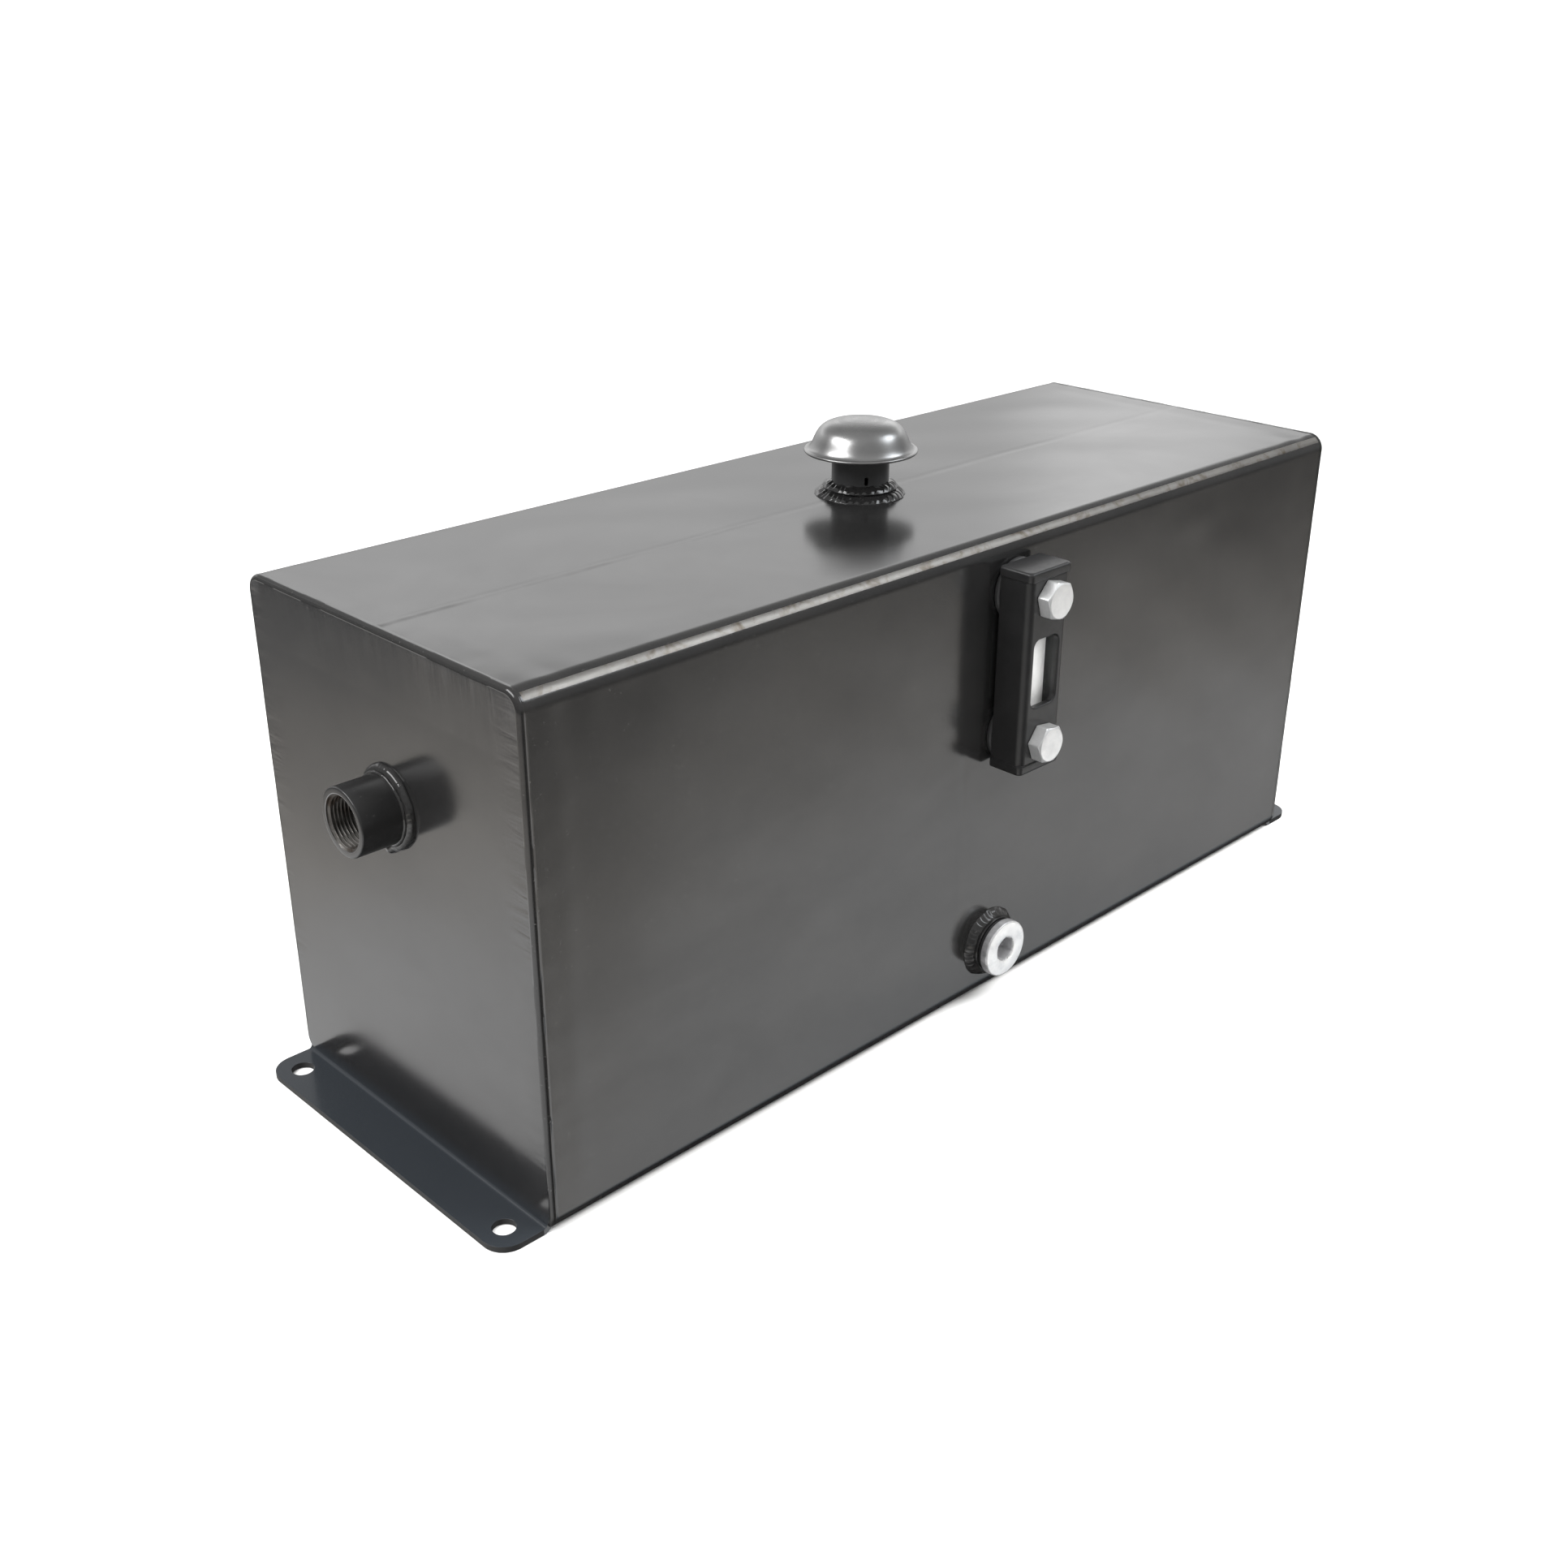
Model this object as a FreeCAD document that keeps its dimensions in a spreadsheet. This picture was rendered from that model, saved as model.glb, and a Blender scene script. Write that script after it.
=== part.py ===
import FreeCAD, Part
import Sketcher
import math
import os
import re

# Hydraulic reservoir: a welded sheet-steel oil tank on two bent-out feet, with
# a filler neck and screw-in breather on top, a level gauge and a drain plug on
# the front, and threaded sockets for return (left end) and suction (right end).
#
# Frame: origin at the centre of the four foot holes, on the plane the feet
# stand on. +X runs along the tank towards the suction end, +Z is up, and the
# gauge and the drain are on the -Y side. Millimetres.

V = FreeCAD.Vector
doc = FreeCAD.newDocument("hydraulic_reservoir")

# --------------------------------------------------------------------------
# driving dimensions
# --------------------------------------------------------------------------

DIMS = [
    # tank shell
    ("tank_length", 590.0, "over the two end plates"),
    ("tank_depth", 208.0, "over the front and back walls"),
    ("tank_top", 260.0, "top face above the foot plane"),
    ("tank_base", 1.0, "underside of the floor above the foot plane"),
    ("sheet", 3.0, "wall thickness"),
    ("bend_outer", 9.0, "outer radius of the wrap's bends"),
    ("seam_gap", 2.4, "root gap of the top seam"),
    ("seam_width", 9.0, "width of the seam's ground cap"),
    ("seam_crown", 0.45, "height of the seam's cap"),
    ("plate_inset", 2.0, "end plate edge inside the wrap's outline"),
    ("edge_round", 2.0, "rounding of the ground corner welds"),
    # feet
    ("foot_reach", 26.0, "foot beyond the end plate's outer face"),
    ("foot_half", 100.0, "half the width of a foot"),
    ("foot_corner", 12.0, "corner radius of a foot"),
    ("foot_bend", 2.0, "inner radius of the foot's bend"),
    ("hole_spacing_x", 617.0, "foot holes along the tank"),
    ("hole_spacing_y", 172.0, "foot holes across the tank"),
    ("hole_dia", 11.0, "foot holes, for M10"),
    # baffle
    ("baffle_x", -25.0, "position of the baffle"),
    ("baffle_thick", 2.0, ""),
    ("baffle_top", 165.0, "height of the baffle's top edge"),
    ("baffle_gap", 0.5, "gap between baffle and walls"),
    ("baffle_cut", 30.0, "corner openings for the oil"),
    # three-quarter inch pipe thread, drawn at its minor diameter
    ("thread_minor", 24.12, "bore of the internal thread"),
    ("thread_male", 23.96, "outside of the mating male thread, drawn smooth"),
    # filler neck and breather
    ("filler_x", 4.0, ""),
    ("neck_dia", 30.2, ""),
    ("neck_rise", 26.0, "neck above the tank's top"),
    ("neck_drop", 6.0, "neck below the tank's top face"),
    ("slot_width", 2.0, "bleed slot in the neck"),
    ("slot_low", 7.6, "slot's lower end above the top"),
    ("slot_high", 12.0, "slot's upper end above the top"),
    ("slot_angle", 235.5, "direction of the slot, from +X"),
    ("gasket_thick", 1.5, ""),
    ("stem_thread", 13.0, "threaded length of the breather stem"),
    ("stem_bore", 15.0, ""),
    ("stem_flange", 2.5, ""),
    ("cap_rim_dia", 59.6, ""),
    ("cap_rim_low", 22.4, "underside of the rim above the tank's top"),
    ("cap_height", 39.5, "crown above the tank's top"),
    ("cap_sheet", 0.8, ""),
    ("disc_hole", 4.8, "air holes in the breather's base"),
    # level gauge, 76 mm between bolts
    ("gauge_x", 6.5, ""),
    ("gauge_mid", 194.3, "height of the gauge's middle"),
    ("gauge_pitch", 76.0, "between the bolts"),
    ("gauge_len", 107.0, ""),
    ("gauge_width", 32.0, "over the end lips"),
    ("gauge_body", 30.4, "width between the lips"),
    ("gauge_gap", 3.2, "gap between the tank and the housing"),
    ("gauge_lip_out", 23.0, "front of the lips from the tank wall"),
    ("gauge_face_out", 22.4, "front of the body from the tank wall"),
    ("gauge_lip", 5.0, "height of a lip"),
    ("window_len", 36.0, ""),
    ("window_width", 19.0, ""),
    ("window_corner", 4.0, ""),
    ("bolt_dia", 11.9, "M12 bolt, thread drawn smooth"),
    ("bolt_af", 18.0, "across the flats of the head"),
    ("bolt_head", 7.5, ""),
    ("bolt_drill", 6.0, "oil way along the bolt"),
    ("bolt_cross", 2.4, "cross hole and feed of the sight glass"),
    ("head_seal_dia", 17.1, "sealing ring under a bolt head"),
    ("head_seal_seat", 17.2, "counterbore for that ring"),
    ("head_seal_thick", 1.4, ""),
    ("washer_dia", 24.0, ""),
    ("washer_thick", 2.0, ""),
    ("nut_height", 8.0, ""),
    ("housing_round", 3.2, "long front edges of the housing"),
    ("lip_corner", 2.6, ""),
    ("lip_round", 1.2, ""),
    ("strip_thick", 0.8, "white strip behind the sight glass"),
    # drain
    ("drain_x", 1.8, ""),
    ("drain_z", 32.5, ""),
    ("boss_dia", 32.0, ""),
    ("boss_out", 6.0, "boss beyond the tank wall"),
    ("boss_in", 6.0, "boss behind the tank wall's outer face"),
    ("drain_seal_thick", 2.2, ""),
    ("plug_collar", 31.8, ""),
    ("plug_collar_thick", 4.4, ""),
    ("plug_thread", 16.0, "collar to tip"),
    ("plug_hex", 12.0, "across the flats of the socket"),
    ("plug_hex_deep", 9.0, ""),
    # sockets on the ends
    ("socket_dia", 32.8, ""),
    ("socket_out", 24.0, "socket beyond the end plate"),
    ("socket_in", 6.0, "socket behind the plate's outer face"),
    ("return_y", -2.0, ""),
    ("return_z", 177.0, ""),
    ("suction_y", 0.0, ""),
    ("suction_z", 60.0, ""),
    ("strainer_thread", 18.6, "bore of the suction socket's inner thread"),
    ("strainer_dia", 38.0, ""),
    ("strainer_len", 90.0, ""),
    ("strainer_hole", 6.0, "holes in the strainer's core"),
]

sheet = doc.addObject("Spreadsheet::Sheet", "Dims")
for row, (alias, value, note) in enumerate(DIMS, start=1):
    sheet.set("A%d" % row, alias)
    sheet.set("B%d" % row, str(value))
    sheet.set("C%d" % row, note)
    sheet.setAlias("B%d" % row, alias)
doc.recompute()

NAMES = set(alias for alias, value, note in DIMS)
WORD = re.compile(r"[A-Za-z_][A-Za-z_0-9]*")


def bound(text):
    """An expression in plain aliases, written out for the document."""
    return WORD.sub(lambda m: "Dims." + m.group(0) if m.group(0) in NAMES else m.group(0), str(text))


def num(text):
    """The present value of such an expression."""
    value = sheet.evalExpression(bound(text))
    return float(getattr(value, "Value", value))


NODES = []      # (label, object whose Shape is the piece)


def keep(label, obj):
    obj.Label = label
    NODES.append((label, obj))
    return obj


# --------------------------------------------------------------------------
# feature helpers
# --------------------------------------------------------------------------

def new_body(name):
    body = doc.addObject("PartDesign::Body", name)
    return body


def base_plane(body, role):
    for feature in body.Origin.OriginFeatures:
        if feature.Role == role:
            return feature
    raise RuntimeError(role)


def new_sketch(body, name, role, offset=None):
    sketch = body.newObject("Sketcher::SketchObject", name)
    sketch.AttachmentSupport = [(base_plane(body, role), "")]
    sketch.MapMode = "FlatFace"
    if offset is not None:
        sketch.AttachmentOffset = FreeCAD.Placement(V(0, 0, num(offset)), FreeCAD.Rotation())
        sketch.setExpression("AttachmentOffset.Base.z", bound(offset))
    return sketch


def pin_point(sketch, geo, pos, x, y):
    """Hold one sketch point at (x, y), both bound to the sheet."""
    for kind, text, axis in (("DistanceX", x, -2), ("DistanceY", y, -1)):
        value = num(text)
        if abs(value) < 1e-9:
            sketch.addConstraint(Sketcher.Constraint("PointOnObject", geo, pos, axis))
            continue
        index = sketch.addConstraint(Sketcher.Constraint(kind, -1, 1, geo, pos, value))
        if WORD.search(str(text)):
            sketch.setExpression("Constraints[%d]" % index, bound(text))


def polygon(sketch, points):
    """Closed outline of straight lines through points given as expressions."""
    values = [V(num(x), num(y), 0) for x, y in points]
    first = sketch.GeometryCount
    count = len(values)
    for i in range(count):
        sketch.addGeometry(Part.LineSegment(values[i], values[(i + 1) % count]), False)
    for i in range(count):
        sketch.addConstraint(Sketcher.Constraint("Coincident", first + i, 2, first + (i + 1) % count, 1))
    for i, (x, y) in enumerate(points):
        pin_point(sketch, first + i, 1, x, y)


def circle(sketch, x, y, radius):
    geo = sketch.addGeometry(Part.Circle(V(num(x), num(y), 0), V(0, 0, 1), num(radius)), False)
    pin_point(sketch, geo, 3, x, y)
    index = sketch.addConstraint(Sketcher.Constraint("Radius", geo, num(radius)))
    sketch.setExpression("Constraints[%d]" % index, bound(radius))


def rectangle(sketch, x0, x1, y0, y1):
    polygon(sketch, [(x0, y0), (x1, y0), (x1, y1), (x0, y1)])


def pad(body, name, sketch, length, side="One side", reverse=False):
    feature = body.newObject("PartDesign::Pad", name)
    feature.Profile = sketch
    feature.SideType = side
    feature.Length = num(length)
    feature.setExpression("Length", bound(length))
    feature.Reversed = reverse
    doc.recompute()
    return feature


def pocket(body, name, sketch, length=None, side="One side", reverse=False):
    """A cut that must take material away."""
    before = body.Shape.Volume
    feature = body.newObject("PartDesign::Pocket", name)
    feature.Profile = sketch
    feature.SideType = side
    if length is None:
        feature.Type = "ThroughAll"
    else:
        feature.Length = num(length)
        feature.setExpression("Length", bound(length))
    feature.Reversed = reverse
    doc.recompute()
    if not body.Shape.Volume < before - 1e-6:
        raise RuntimeError("%s cuts nothing" % name)
    return feature


def pick_edges(shape, test):
    names = []
    for i, edge in enumerate(shape.Edges, start=1):
        if test(edge):
            names.append("Edge%d" % i)
    return names


def along(edge, axis, tol=1e-6):
    """Whether a straight edge runs along one axis (0, 1 or 2)."""
    if edge.Curve.TypeId != "Part::GeomLine":
        return False
    a, b = edge.Vertexes[0].Point, edge.Vertexes[-1].Point
    d = [abs(a.x - b.x), abs(a.y - b.y), abs(a.z - b.z)]
    return d[axis] > 1e-3 and all(d[k] < tol for k in range(3) if k != axis)


def near(value, target, tol=1e-3):
    return abs(value - target) < tol


def fillet(body, name, base, edges, radius):
    if not edges:
        raise RuntimeError("%s finds no edge" % name)
    feature = body.newObject("PartDesign::Fillet", name)
    feature.Base = (base, edges)
    feature.Radius = num(radius)
    feature.setExpression("Radius", bound(radius))
    doc.recompute()
    return feature


def turn(name, points):
    """A turned piece: its half section (radius, height) about its own Z."""
    body = new_body(name)
    sketch = new_sketch(body, name + "_section", "XZ_Plane")
    polygon(sketch, points)
    feature = body.newObject("PartDesign::Revolution", name + "_turn")
    feature.Profile = sketch
    feature.ReferenceAxis = (sketch, ["V_Axis"])
    feature.Angle = 360
    doc.recompute()
    return body


def seat(body, x, y, z, axis="up"):
    """Put a body at (x, y, z) with its own Z pointing up, front, left or right."""
    turns = {
        "up": FreeCAD.Rotation(V(0, 0, 1), 0),
        "front": FreeCAD.Rotation(V(1, 0, 0), 90),
        "left": FreeCAD.Rotation(V(0, 1, 0), -90),
        "right": FreeCAD.Rotation(V(0, 1, 0), 90),
    }
    body.Placement = FreeCAD.Placement(V(num(x), num(y), num(z)), turns[axis])
    body.setExpression("Placement.Base.x", bound(x))
    body.setExpression("Placement.Base.y", bound(y))
    body.setExpression("Placement.Base.z", bound(z))
    doc.recompute()
    return body


def hexagon(sketch, flats, corner_up=False):
    """Regular hexagon about the sketch's origin, from its width across flats."""
    half, corner, side = "%s/2" % flats, "%s*0.577350269" % flats, "%s*0.288675135" % flats
    if corner_up:       # corners at top and bottom, flats left and right
        points = [(half, side), ("0", corner), ("-" + half, side),
                  ("-" + half, "-" + side), ("0", "-" + corner), (half, "-" + side)]
    else:               # flats at top and bottom
        points = [(corner, "0"), (side, half), ("-" + side, half),
                  ("-" + corner, "0"), ("-" + side, "-" + half), (side, "-" + half)]
    polygon(sketch, points)


def turned_hexagon(sketch, flats, degrees):
    """Regular hexagon turned from flats at top and bottom."""
    points = []
    for k in range(6):
        angle = math.radians(degrees + 60 * k)
        points.append(("%.9f*%s" % (math.cos(angle) / math.sqrt(3), flats),
                       "%.9f*%s" % (math.sin(angle) / math.sqrt(3), flats)))
    polygon(sketch, points)


# --------------------------------------------------------------------------
# tank wrap: one sheet bent four times, its edges meeting on the top
# --------------------------------------------------------------------------

HALF_IN = "tank_length/2-sheet"        # inner face of an end plate

wrap = new_body("wrap")
s = new_sketch(wrap, "wrap_outline", "YZ_Plane")
rectangle(s, "-tank_depth/2", "tank_depth/2", "tank_base", "tank_top")
f = pad(wrap, "wrap_block", s, "tank_length-2*sheet", side="Symmetric")
f = fillet(wrap, "wrap_bends", f, pick_edges(f.Shape, lambda e: along(e, 0)), "bend_outer")
s = new_sketch(wrap, "wrap_inside", "YZ_Plane")
rectangle(s, "-tank_depth/2+sheet", "tank_depth/2-sheet", "tank_base+sheet", "tank_top-sheet")
f = pocket(wrap, "wrap_hollow", s, "tank_length+10", side="Symmetric")


def inner_corner(edge):
    if not along(edge, 0):
        return False
    p = edge.Vertexes[0].Point
    return near(abs(p.y), num("tank_depth/2-sheet")) and \
        (near(p.z, num("tank_base+sheet")) or near(p.z, num("tank_top-sheet")))


f = fillet(wrap, "wrap_inner_bends", f, pick_edges(f.Shape, inner_corner), "bend_outer-sheet")
s = new_sketch(wrap, "seam_slot", "YZ_Plane")
rectangle(s, "-seam_gap/2", "seam_gap/2", "tank_top-sheet-1", "tank_top+1")
f = pocket(wrap, "seam_opening", s, "tank_length+10", side="Symmetric")
s = new_sketch(wrap, "filler_hole_outline", "XY_Plane", "tank_top-sheet-2")
circle(s, "filler_x", "0", "neck_dia/2")
f = pocket(wrap, "filler_hole", s, "sheet+4", reverse=True)
s = new_sketch(wrap, "gauge_holes_outline", "XZ_Plane", "tank_depth/2-sheet-2")
circle(s, "gauge_x", "gauge_mid+gauge_pitch/2", "bolt_dia/2+0.55")
circle(s, "gauge_x", "gauge_mid-gauge_pitch/2", "bolt_dia/2+0.55")
f = pocket(wrap, "gauge_holes", s, "sheet+4", reverse=True)
s = new_sketch(wrap, "drain_hole_outline", "XZ_Plane", "tank_depth/2-sheet-2")
circle(s, "drain_x", "drain_z", "boss_dia/2")
f = pocket(wrap, "drain_hole", s, "sheet+4", reverse=True)
keep("tank_wrap", wrap)

# --------------------------------------------------------------------------
# end plates: flat sheet with its bottom edge bent out into a foot
# --------------------------------------------------------------------------


def end_plate(label, sign, port_y, port_z):
    sg = "-" if sign < 0 else ""
    body = new_body(label + "_body")
    inner = "%s(tank_length/2-sheet)" % sg
    outer = "%s(tank_length/2)" % sg
    tip = "%s(tank_length/2+foot_reach)" % sg
    s = new_sketch(body, label + "_profile", "XZ_Plane")
    polygon(s, [(inner, "0"), (tip, "0"), (tip, "sheet"), (outer, "sheet"),
                (outer, "tank_top-plate_inset"), (inner, "tank_top-plate_inset")])
    f = pad(body, label + "_sheet", s, "tank_depth-2*plate_inset", side="Symmetric")
    f = fillet(body, label + "_bend_inside", f, pick_edges(
        f.Shape, lambda e: along(e, 1) and near(e.Vertexes[0].Point.x, num(outer))
        and near(e.Vertexes[0].Point.z, num("sheet"))), "foot_bend")
    f = fillet(body, label + "_bend_outside", f, pick_edges(
        f.Shape, lambda e: along(e, 1) and near(e.Vertexes[0].Point.x, num(inner))
        and near(e.Vertexes[0].Point.z, 0)), "foot_bend+sheet")
    f = fillet(body, label + "_top_corners", f, pick_edges(
        f.Shape, lambda e: along(e, 0) and near(e.Vertexes[0].Point.z, num("tank_top-plate_inset"))),
        "bend_outer-plate_inset")
    # the sides step in below the wrap's bottom bends, down to the foot's width
    s = new_sketch(body, label + "_side_cuts", "YZ_Plane")
    for side in ("", "-"):
        polygon(s, [(side + "foot_half", "-5"), (side + "(tank_depth/2+5)", "-5"),
                    (side + "(tank_depth/2+5)", "tank_base+bend_outer"),
                    (side + "(tank_depth/2-plate_inset)", "tank_base+bend_outer"),
                    (side + "foot_half", "tank_base+4.1")])
    f = pocket(body, label + "_steps", s, "2*(tank_length/2+foot_reach+20)", side="Symmetric")
    f = fillet(body, label + "_foot_corners", f, pick_edges(
        f.Shape, lambda e: along(e, 2) and near(e.Vertexes[0].Point.x, num(tip))), "foot_corner")
    s = new_sketch(body, label + "_hole_outlines", "XY_Plane", "-2")
    circle(s, "%shole_spacing_x/2" % sg, "hole_spacing_y/2", "hole_dia/2")
    circle(s, "%shole_spacing_x/2" % sg, "-hole_spacing_y/2", "hole_dia/2")
    f = pocket(body, label + "_holes", s, "sheet+4", reverse=True)
    s = new_sketch(body, label + "_port_outline", "YZ_Plane",
                   "tank_length/2-sheet-2" if sign > 0 else "-(tank_length/2+2)")
    circle(s, port_y, port_z, "socket_dia/2")
    f = pocket(body, label + "_port_hole", s, "sheet+4", reverse=True)
    return keep(label, body)


end_plate("left_end_plate", -1, "return_y", "return_z")
end_plate("right_end_plate", 1, "suction_y", "suction_z")

# --------------------------------------------------------------------------
# corner welds between wrap and end plates, ground to a small round. Below the
# floor the same bead fills the root between the wrap and the foot's bend.
# --------------------------------------------------------------------------


def end_weld(label, sign):
    body = new_body(label + "_ring")
    outer_x = num("tank_length/2") * sign
    s = new_sketch(body, label + "_outline", "YZ_Plane",
                   "tank_length/2-sheet" if sign > 0 else "-(tank_length/2)")
    rectangle(s, "-tank_depth/2", "tank_depth/2", "tank_base", "tank_top")
    f = pad(body, label + "_slab", s, "sheet")
    f = fillet(body, label + "_corners", f, pick_edges(f.Shape, lambda e: along(e, 0)), "bend_outer")
    f = fillet(body, label + "_round", f, pick_edges(
        f.Shape, lambda e: near(e.CenterOfMass.x, outer_x)), "edge_round")
    pane = new_body(label + "_pane")
    s = new_sketch(pane, label + "_window", "YZ_Plane",
                   "tank_length/2-sheet-1" if sign > 0 else "-(tank_length/2+1)")
    polygon(s, [("-foot_half", "tank_base+2.5"), ("foot_half", "tank_base+2.5"),
                ("foot_half", "tank_base+4.1"),
                ("tank_depth/2-plate_inset", "tank_base+bend_outer"),
                ("tank_depth/2-plate_inset", "tank_top-plate_inset"),
                ("-(tank_depth/2-plate_inset)", "tank_top-plate_inset"),
                ("-(tank_depth/2-plate_inset)", "tank_base+bend_outer"),
                ("-foot_half", "tank_base+4.1")])
    f = pad(pane, label + "_pane_slab", s, "sheet+2")
    f = fillet(pane, label + "_pane_corners", f, pick_edges(
        f.Shape, lambda e: along(e, 0) and near(e.Vertexes[0].Point.z, num("tank_top-plate_inset"))),
        "bend_outer-plate_inset")
    opened = doc.addObject("Part::Cut", label + "_opened")
    opened.Base = body
    opened.Tool = pane
    bend = doc.addObject("Part::Cylinder", label + "_bend")
    bend.setExpression("Radius", bound("foot_bend+sheet"))
    bend.setExpression("Height", bound("tank_depth+20"))
    bend.Placement = FreeCAD.Placement(
        V(sign * num("tank_length/2+foot_bend"), num("-(tank_depth/2+10)"), num("foot_bend+sheet")),
        FreeCAD.Rotation(V(1, 0, 0), -90))
    bend.setExpression("Placement.Base.x", bound("%d*(tank_length/2+foot_bend)" % sign))
    bend.setExpression("Placement.Base.y", bound("-(tank_depth/2+10)"))
    bend.setExpression("Placement.Base.z", bound("foot_bend+sheet"))
    # the cylinder runs only under the plate, between the foot's two edges
    guard = doc.addObject("Part::Box", label + "_bend_guard")
    guard.setExpression("Length", bound("sheet+10"))
    guard.setExpression("Width", bound("2*foot_half"))
    guard.setExpression("Height", bound("foot_bend+sheet+1"))
    guard.Placement = FreeCAD.Placement(
        V(num("tank_length/2-sheet-1") if sign > 0 else -num("tank_length/2+9"),
          -num("foot_half"), -1), FreeCAD.Rotation())
    guard.setExpression("Placement.Base.x", bound(
        "tank_length/2-sheet-1" if sign > 0 else "-(tank_length/2+9)"))
    guard.setExpression("Placement.Base.y", bound("-foot_half"))
    tool = doc.addObject("Part::Common", label + "_bend_tool")
    tool.Base = bend
    tool.Tool = guard
    cut = doc.addObject("Part::Cut", label + "_bead")
    cut.Base = opened
    cut.Tool = tool
    doc.recompute()
    return keep(label, cut)


end_weld("left_end_weld", -1)
end_weld("right_end_weld", 1)

# --------------------------------------------------------------------------
# top seam: root in the gap and a low ground cap, stopping at the filler's weld
# --------------------------------------------------------------------------

seam = new_body("seam_body")
s = new_sketch(seam, "seam_section", "YZ_Plane")
polygon(s, [("-seam_gap/2", "tank_top-sheet"), ("seam_gap/2", "tank_top-sheet"),
            ("seam_gap/2", "tank_top"), ("seam_width/2", "tank_top"),
            ("seam_width/3", "tank_top+seam_crown*0.62"), ("seam_gap/2", "tank_top+seam_crown"),
            ("-seam_gap/2", "tank_top+seam_crown"), ("-seam_width/3", "tank_top+seam_crown*0.62"),
            ("-seam_width/2", "tank_top"), ("-seam_gap/2", "tank_top")])
f = pad(seam, "seam_bead", s, "tank_length-2*sheet", side="Symmetric")
cyl = doc.addObject("Part::Cylinder", "seam_stop")
cyl.setExpression("Radius", bound("neck_dia/2+9.2"))
cyl.setExpression("Height", bound("sheet+6"))
cyl.setExpression("Placement.Base.x", bound("filler_x"))
cyl.setExpression("Placement.Base.z", bound("tank_top-sheet-2"))
cut = doc.addObject("Part::Cut", "seam_cut")
cut.Base = seam
cut.Tool = cyl
doc.recompute()
keep("top_seam_weld", cut)

# --------------------------------------------------------------------------
# baffle: a plate across the tank with its bottom corners open, tacked in
# --------------------------------------------------------------------------

baffle = new_body("baffle_body")
s = new_sketch(baffle, "baffle_outline", "YZ_Plane", "baffle_x-baffle_thick/2")
low, side_y = "tank_base+sheet+baffle_gap", "(tank_depth/2-sheet-baffle_gap)"
polygon(s, [("-%s+baffle_cut" % side_y, low), ("%s-baffle_cut" % side_y, low),
            (side_y, low + "+baffle_cut"), (side_y, "baffle_top"),
            ("-" + side_y, "baffle_top"), ("-" + side_y, low + "+baffle_cut")])
pad(baffle, "baffle_sheet", s, "baffle_thick")
keep("baffle_plate", baffle)

# small triangular tacks bridge the gap on the left face of the baffle
tack_places = []
for side in (-1, 1):
    for height in (44.0, 98.0, 150.0):
        tack_places.append(("wall", side, height))
for across in (-50.0, 0.0, 50.0):
    tack_places.append(("floor", 0, across))
tacks = []
for i, (where, side, at) in enumerate(tack_places):
    wedge = doc.addObject("Part::Wedge", "baffle_tack_%d" % i)
    # a right-angled fillet, 5 mm legs, 12 mm long
    wedge.Xmin, wedge.Xmax, wedge.X2min, wedge.X2max = 0, 5, 0, 0.02
    wedge.Ymin, wedge.Ymax = 0, 5
    wedge.Zmin, wedge.Zmax, wedge.Z2min, wedge.Z2max = 0, 12, 0, 12
    face_x = num("baffle_x-baffle_thick/2")
    if where == "wall":
        wall_y = num("tank_depth/2-sheet") * side
        # local X leg away from the baffle (-X), local Y leg away from the wall
        rot = FreeCAD.Rotation(V(-1, 0, 0), V(0, -side, 0), V(0, 0, side), "ZXY")
        z0 = at if side > 0 else at + 12
        wedge.Placement = FreeCAD.Placement(V(face_x, wall_y, z0), rot)
    else:
        rot = FreeCAD.Rotation(V(-1, 0, 0), V(0, 0, 1), V(0, 1, 0), "ZXY")
        wedge.Placement = FreeCAD.Placement(V(face_x, at - 6, num("tank_base+sheet")), rot)
    tacks.append(wedge)
group = doc.addObject("Part::Compound", "baffle_tack_group")
group.Links = tacks
doc.recompute()
keep("baffle_tacks", group)

# --------------------------------------------------------------------------
# filler neck and its two-pass fillet weld
# --------------------------------------------------------------------------

neck = new_body("neck_body")
s = new_sketch(neck, "neck_section", "XZ_Plane")
polygon(s, [("thread_minor/2", "-neck_drop"), ("neck_dia/2", "-neck_drop"),
            ("neck_dia/2", "neck_rise-0.6"), ("neck_dia/2-0.6", "neck_rise"),
            ("thread_minor/2+0.9", "neck_rise"), ("thread_minor/2", "neck_rise-0.9")])
f = neck.newObject("PartDesign::Revolution", "neck_tube")
f.Profile = s
f.ReferenceAxis = (s, ["V_Axis"])
f.Angle = 360
doc.recompute()
s = new_sketch(neck, "neck_slot_outline", "XZ_Plane")
rectangle(s, "-slot_width/2", "slot_width/2", "slot_low", "slot_high")
f = pocket(neck, "neck_slot", s, "neck_dia/2+2", reverse=True)
seat(neck, "filler_x", "0", "tank_top")
# the slot is cut on the body's -Y side and turned to its place
neck.Placement = FreeCAD.Placement(neck.Placement.Base, FreeCAD.Rotation(V(0, 0, 1), num("slot_angle-270")))
doc.recompute()
keep("filler_neck", neck)

weld = turn("neck_weld_body", [
    ("neck_dia/2", "0"), ("neck_dia/2+8.9", "0"), ("neck_dia/2+7.9", "1.7"),
    ("neck_dia/2+5.6", "3.2"), ("neck_dia/2+3.8", "3.9"), ("neck_dia/2+4.2", "5.2"),
    ("neck_dia/2+3.7", "6.4"), ("neck_dia/2+2.0", "7.2"), ("neck_dia/2", "7.5")])
seat(weld, "filler_x", "0", "tank_top")
keep("filler_neck_weld", weld)

# --------------------------------------------------------------------------
# breather: gasket, threaded stem, base disc, foam ring and pressed cap
# --------------------------------------------------------------------------

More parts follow.
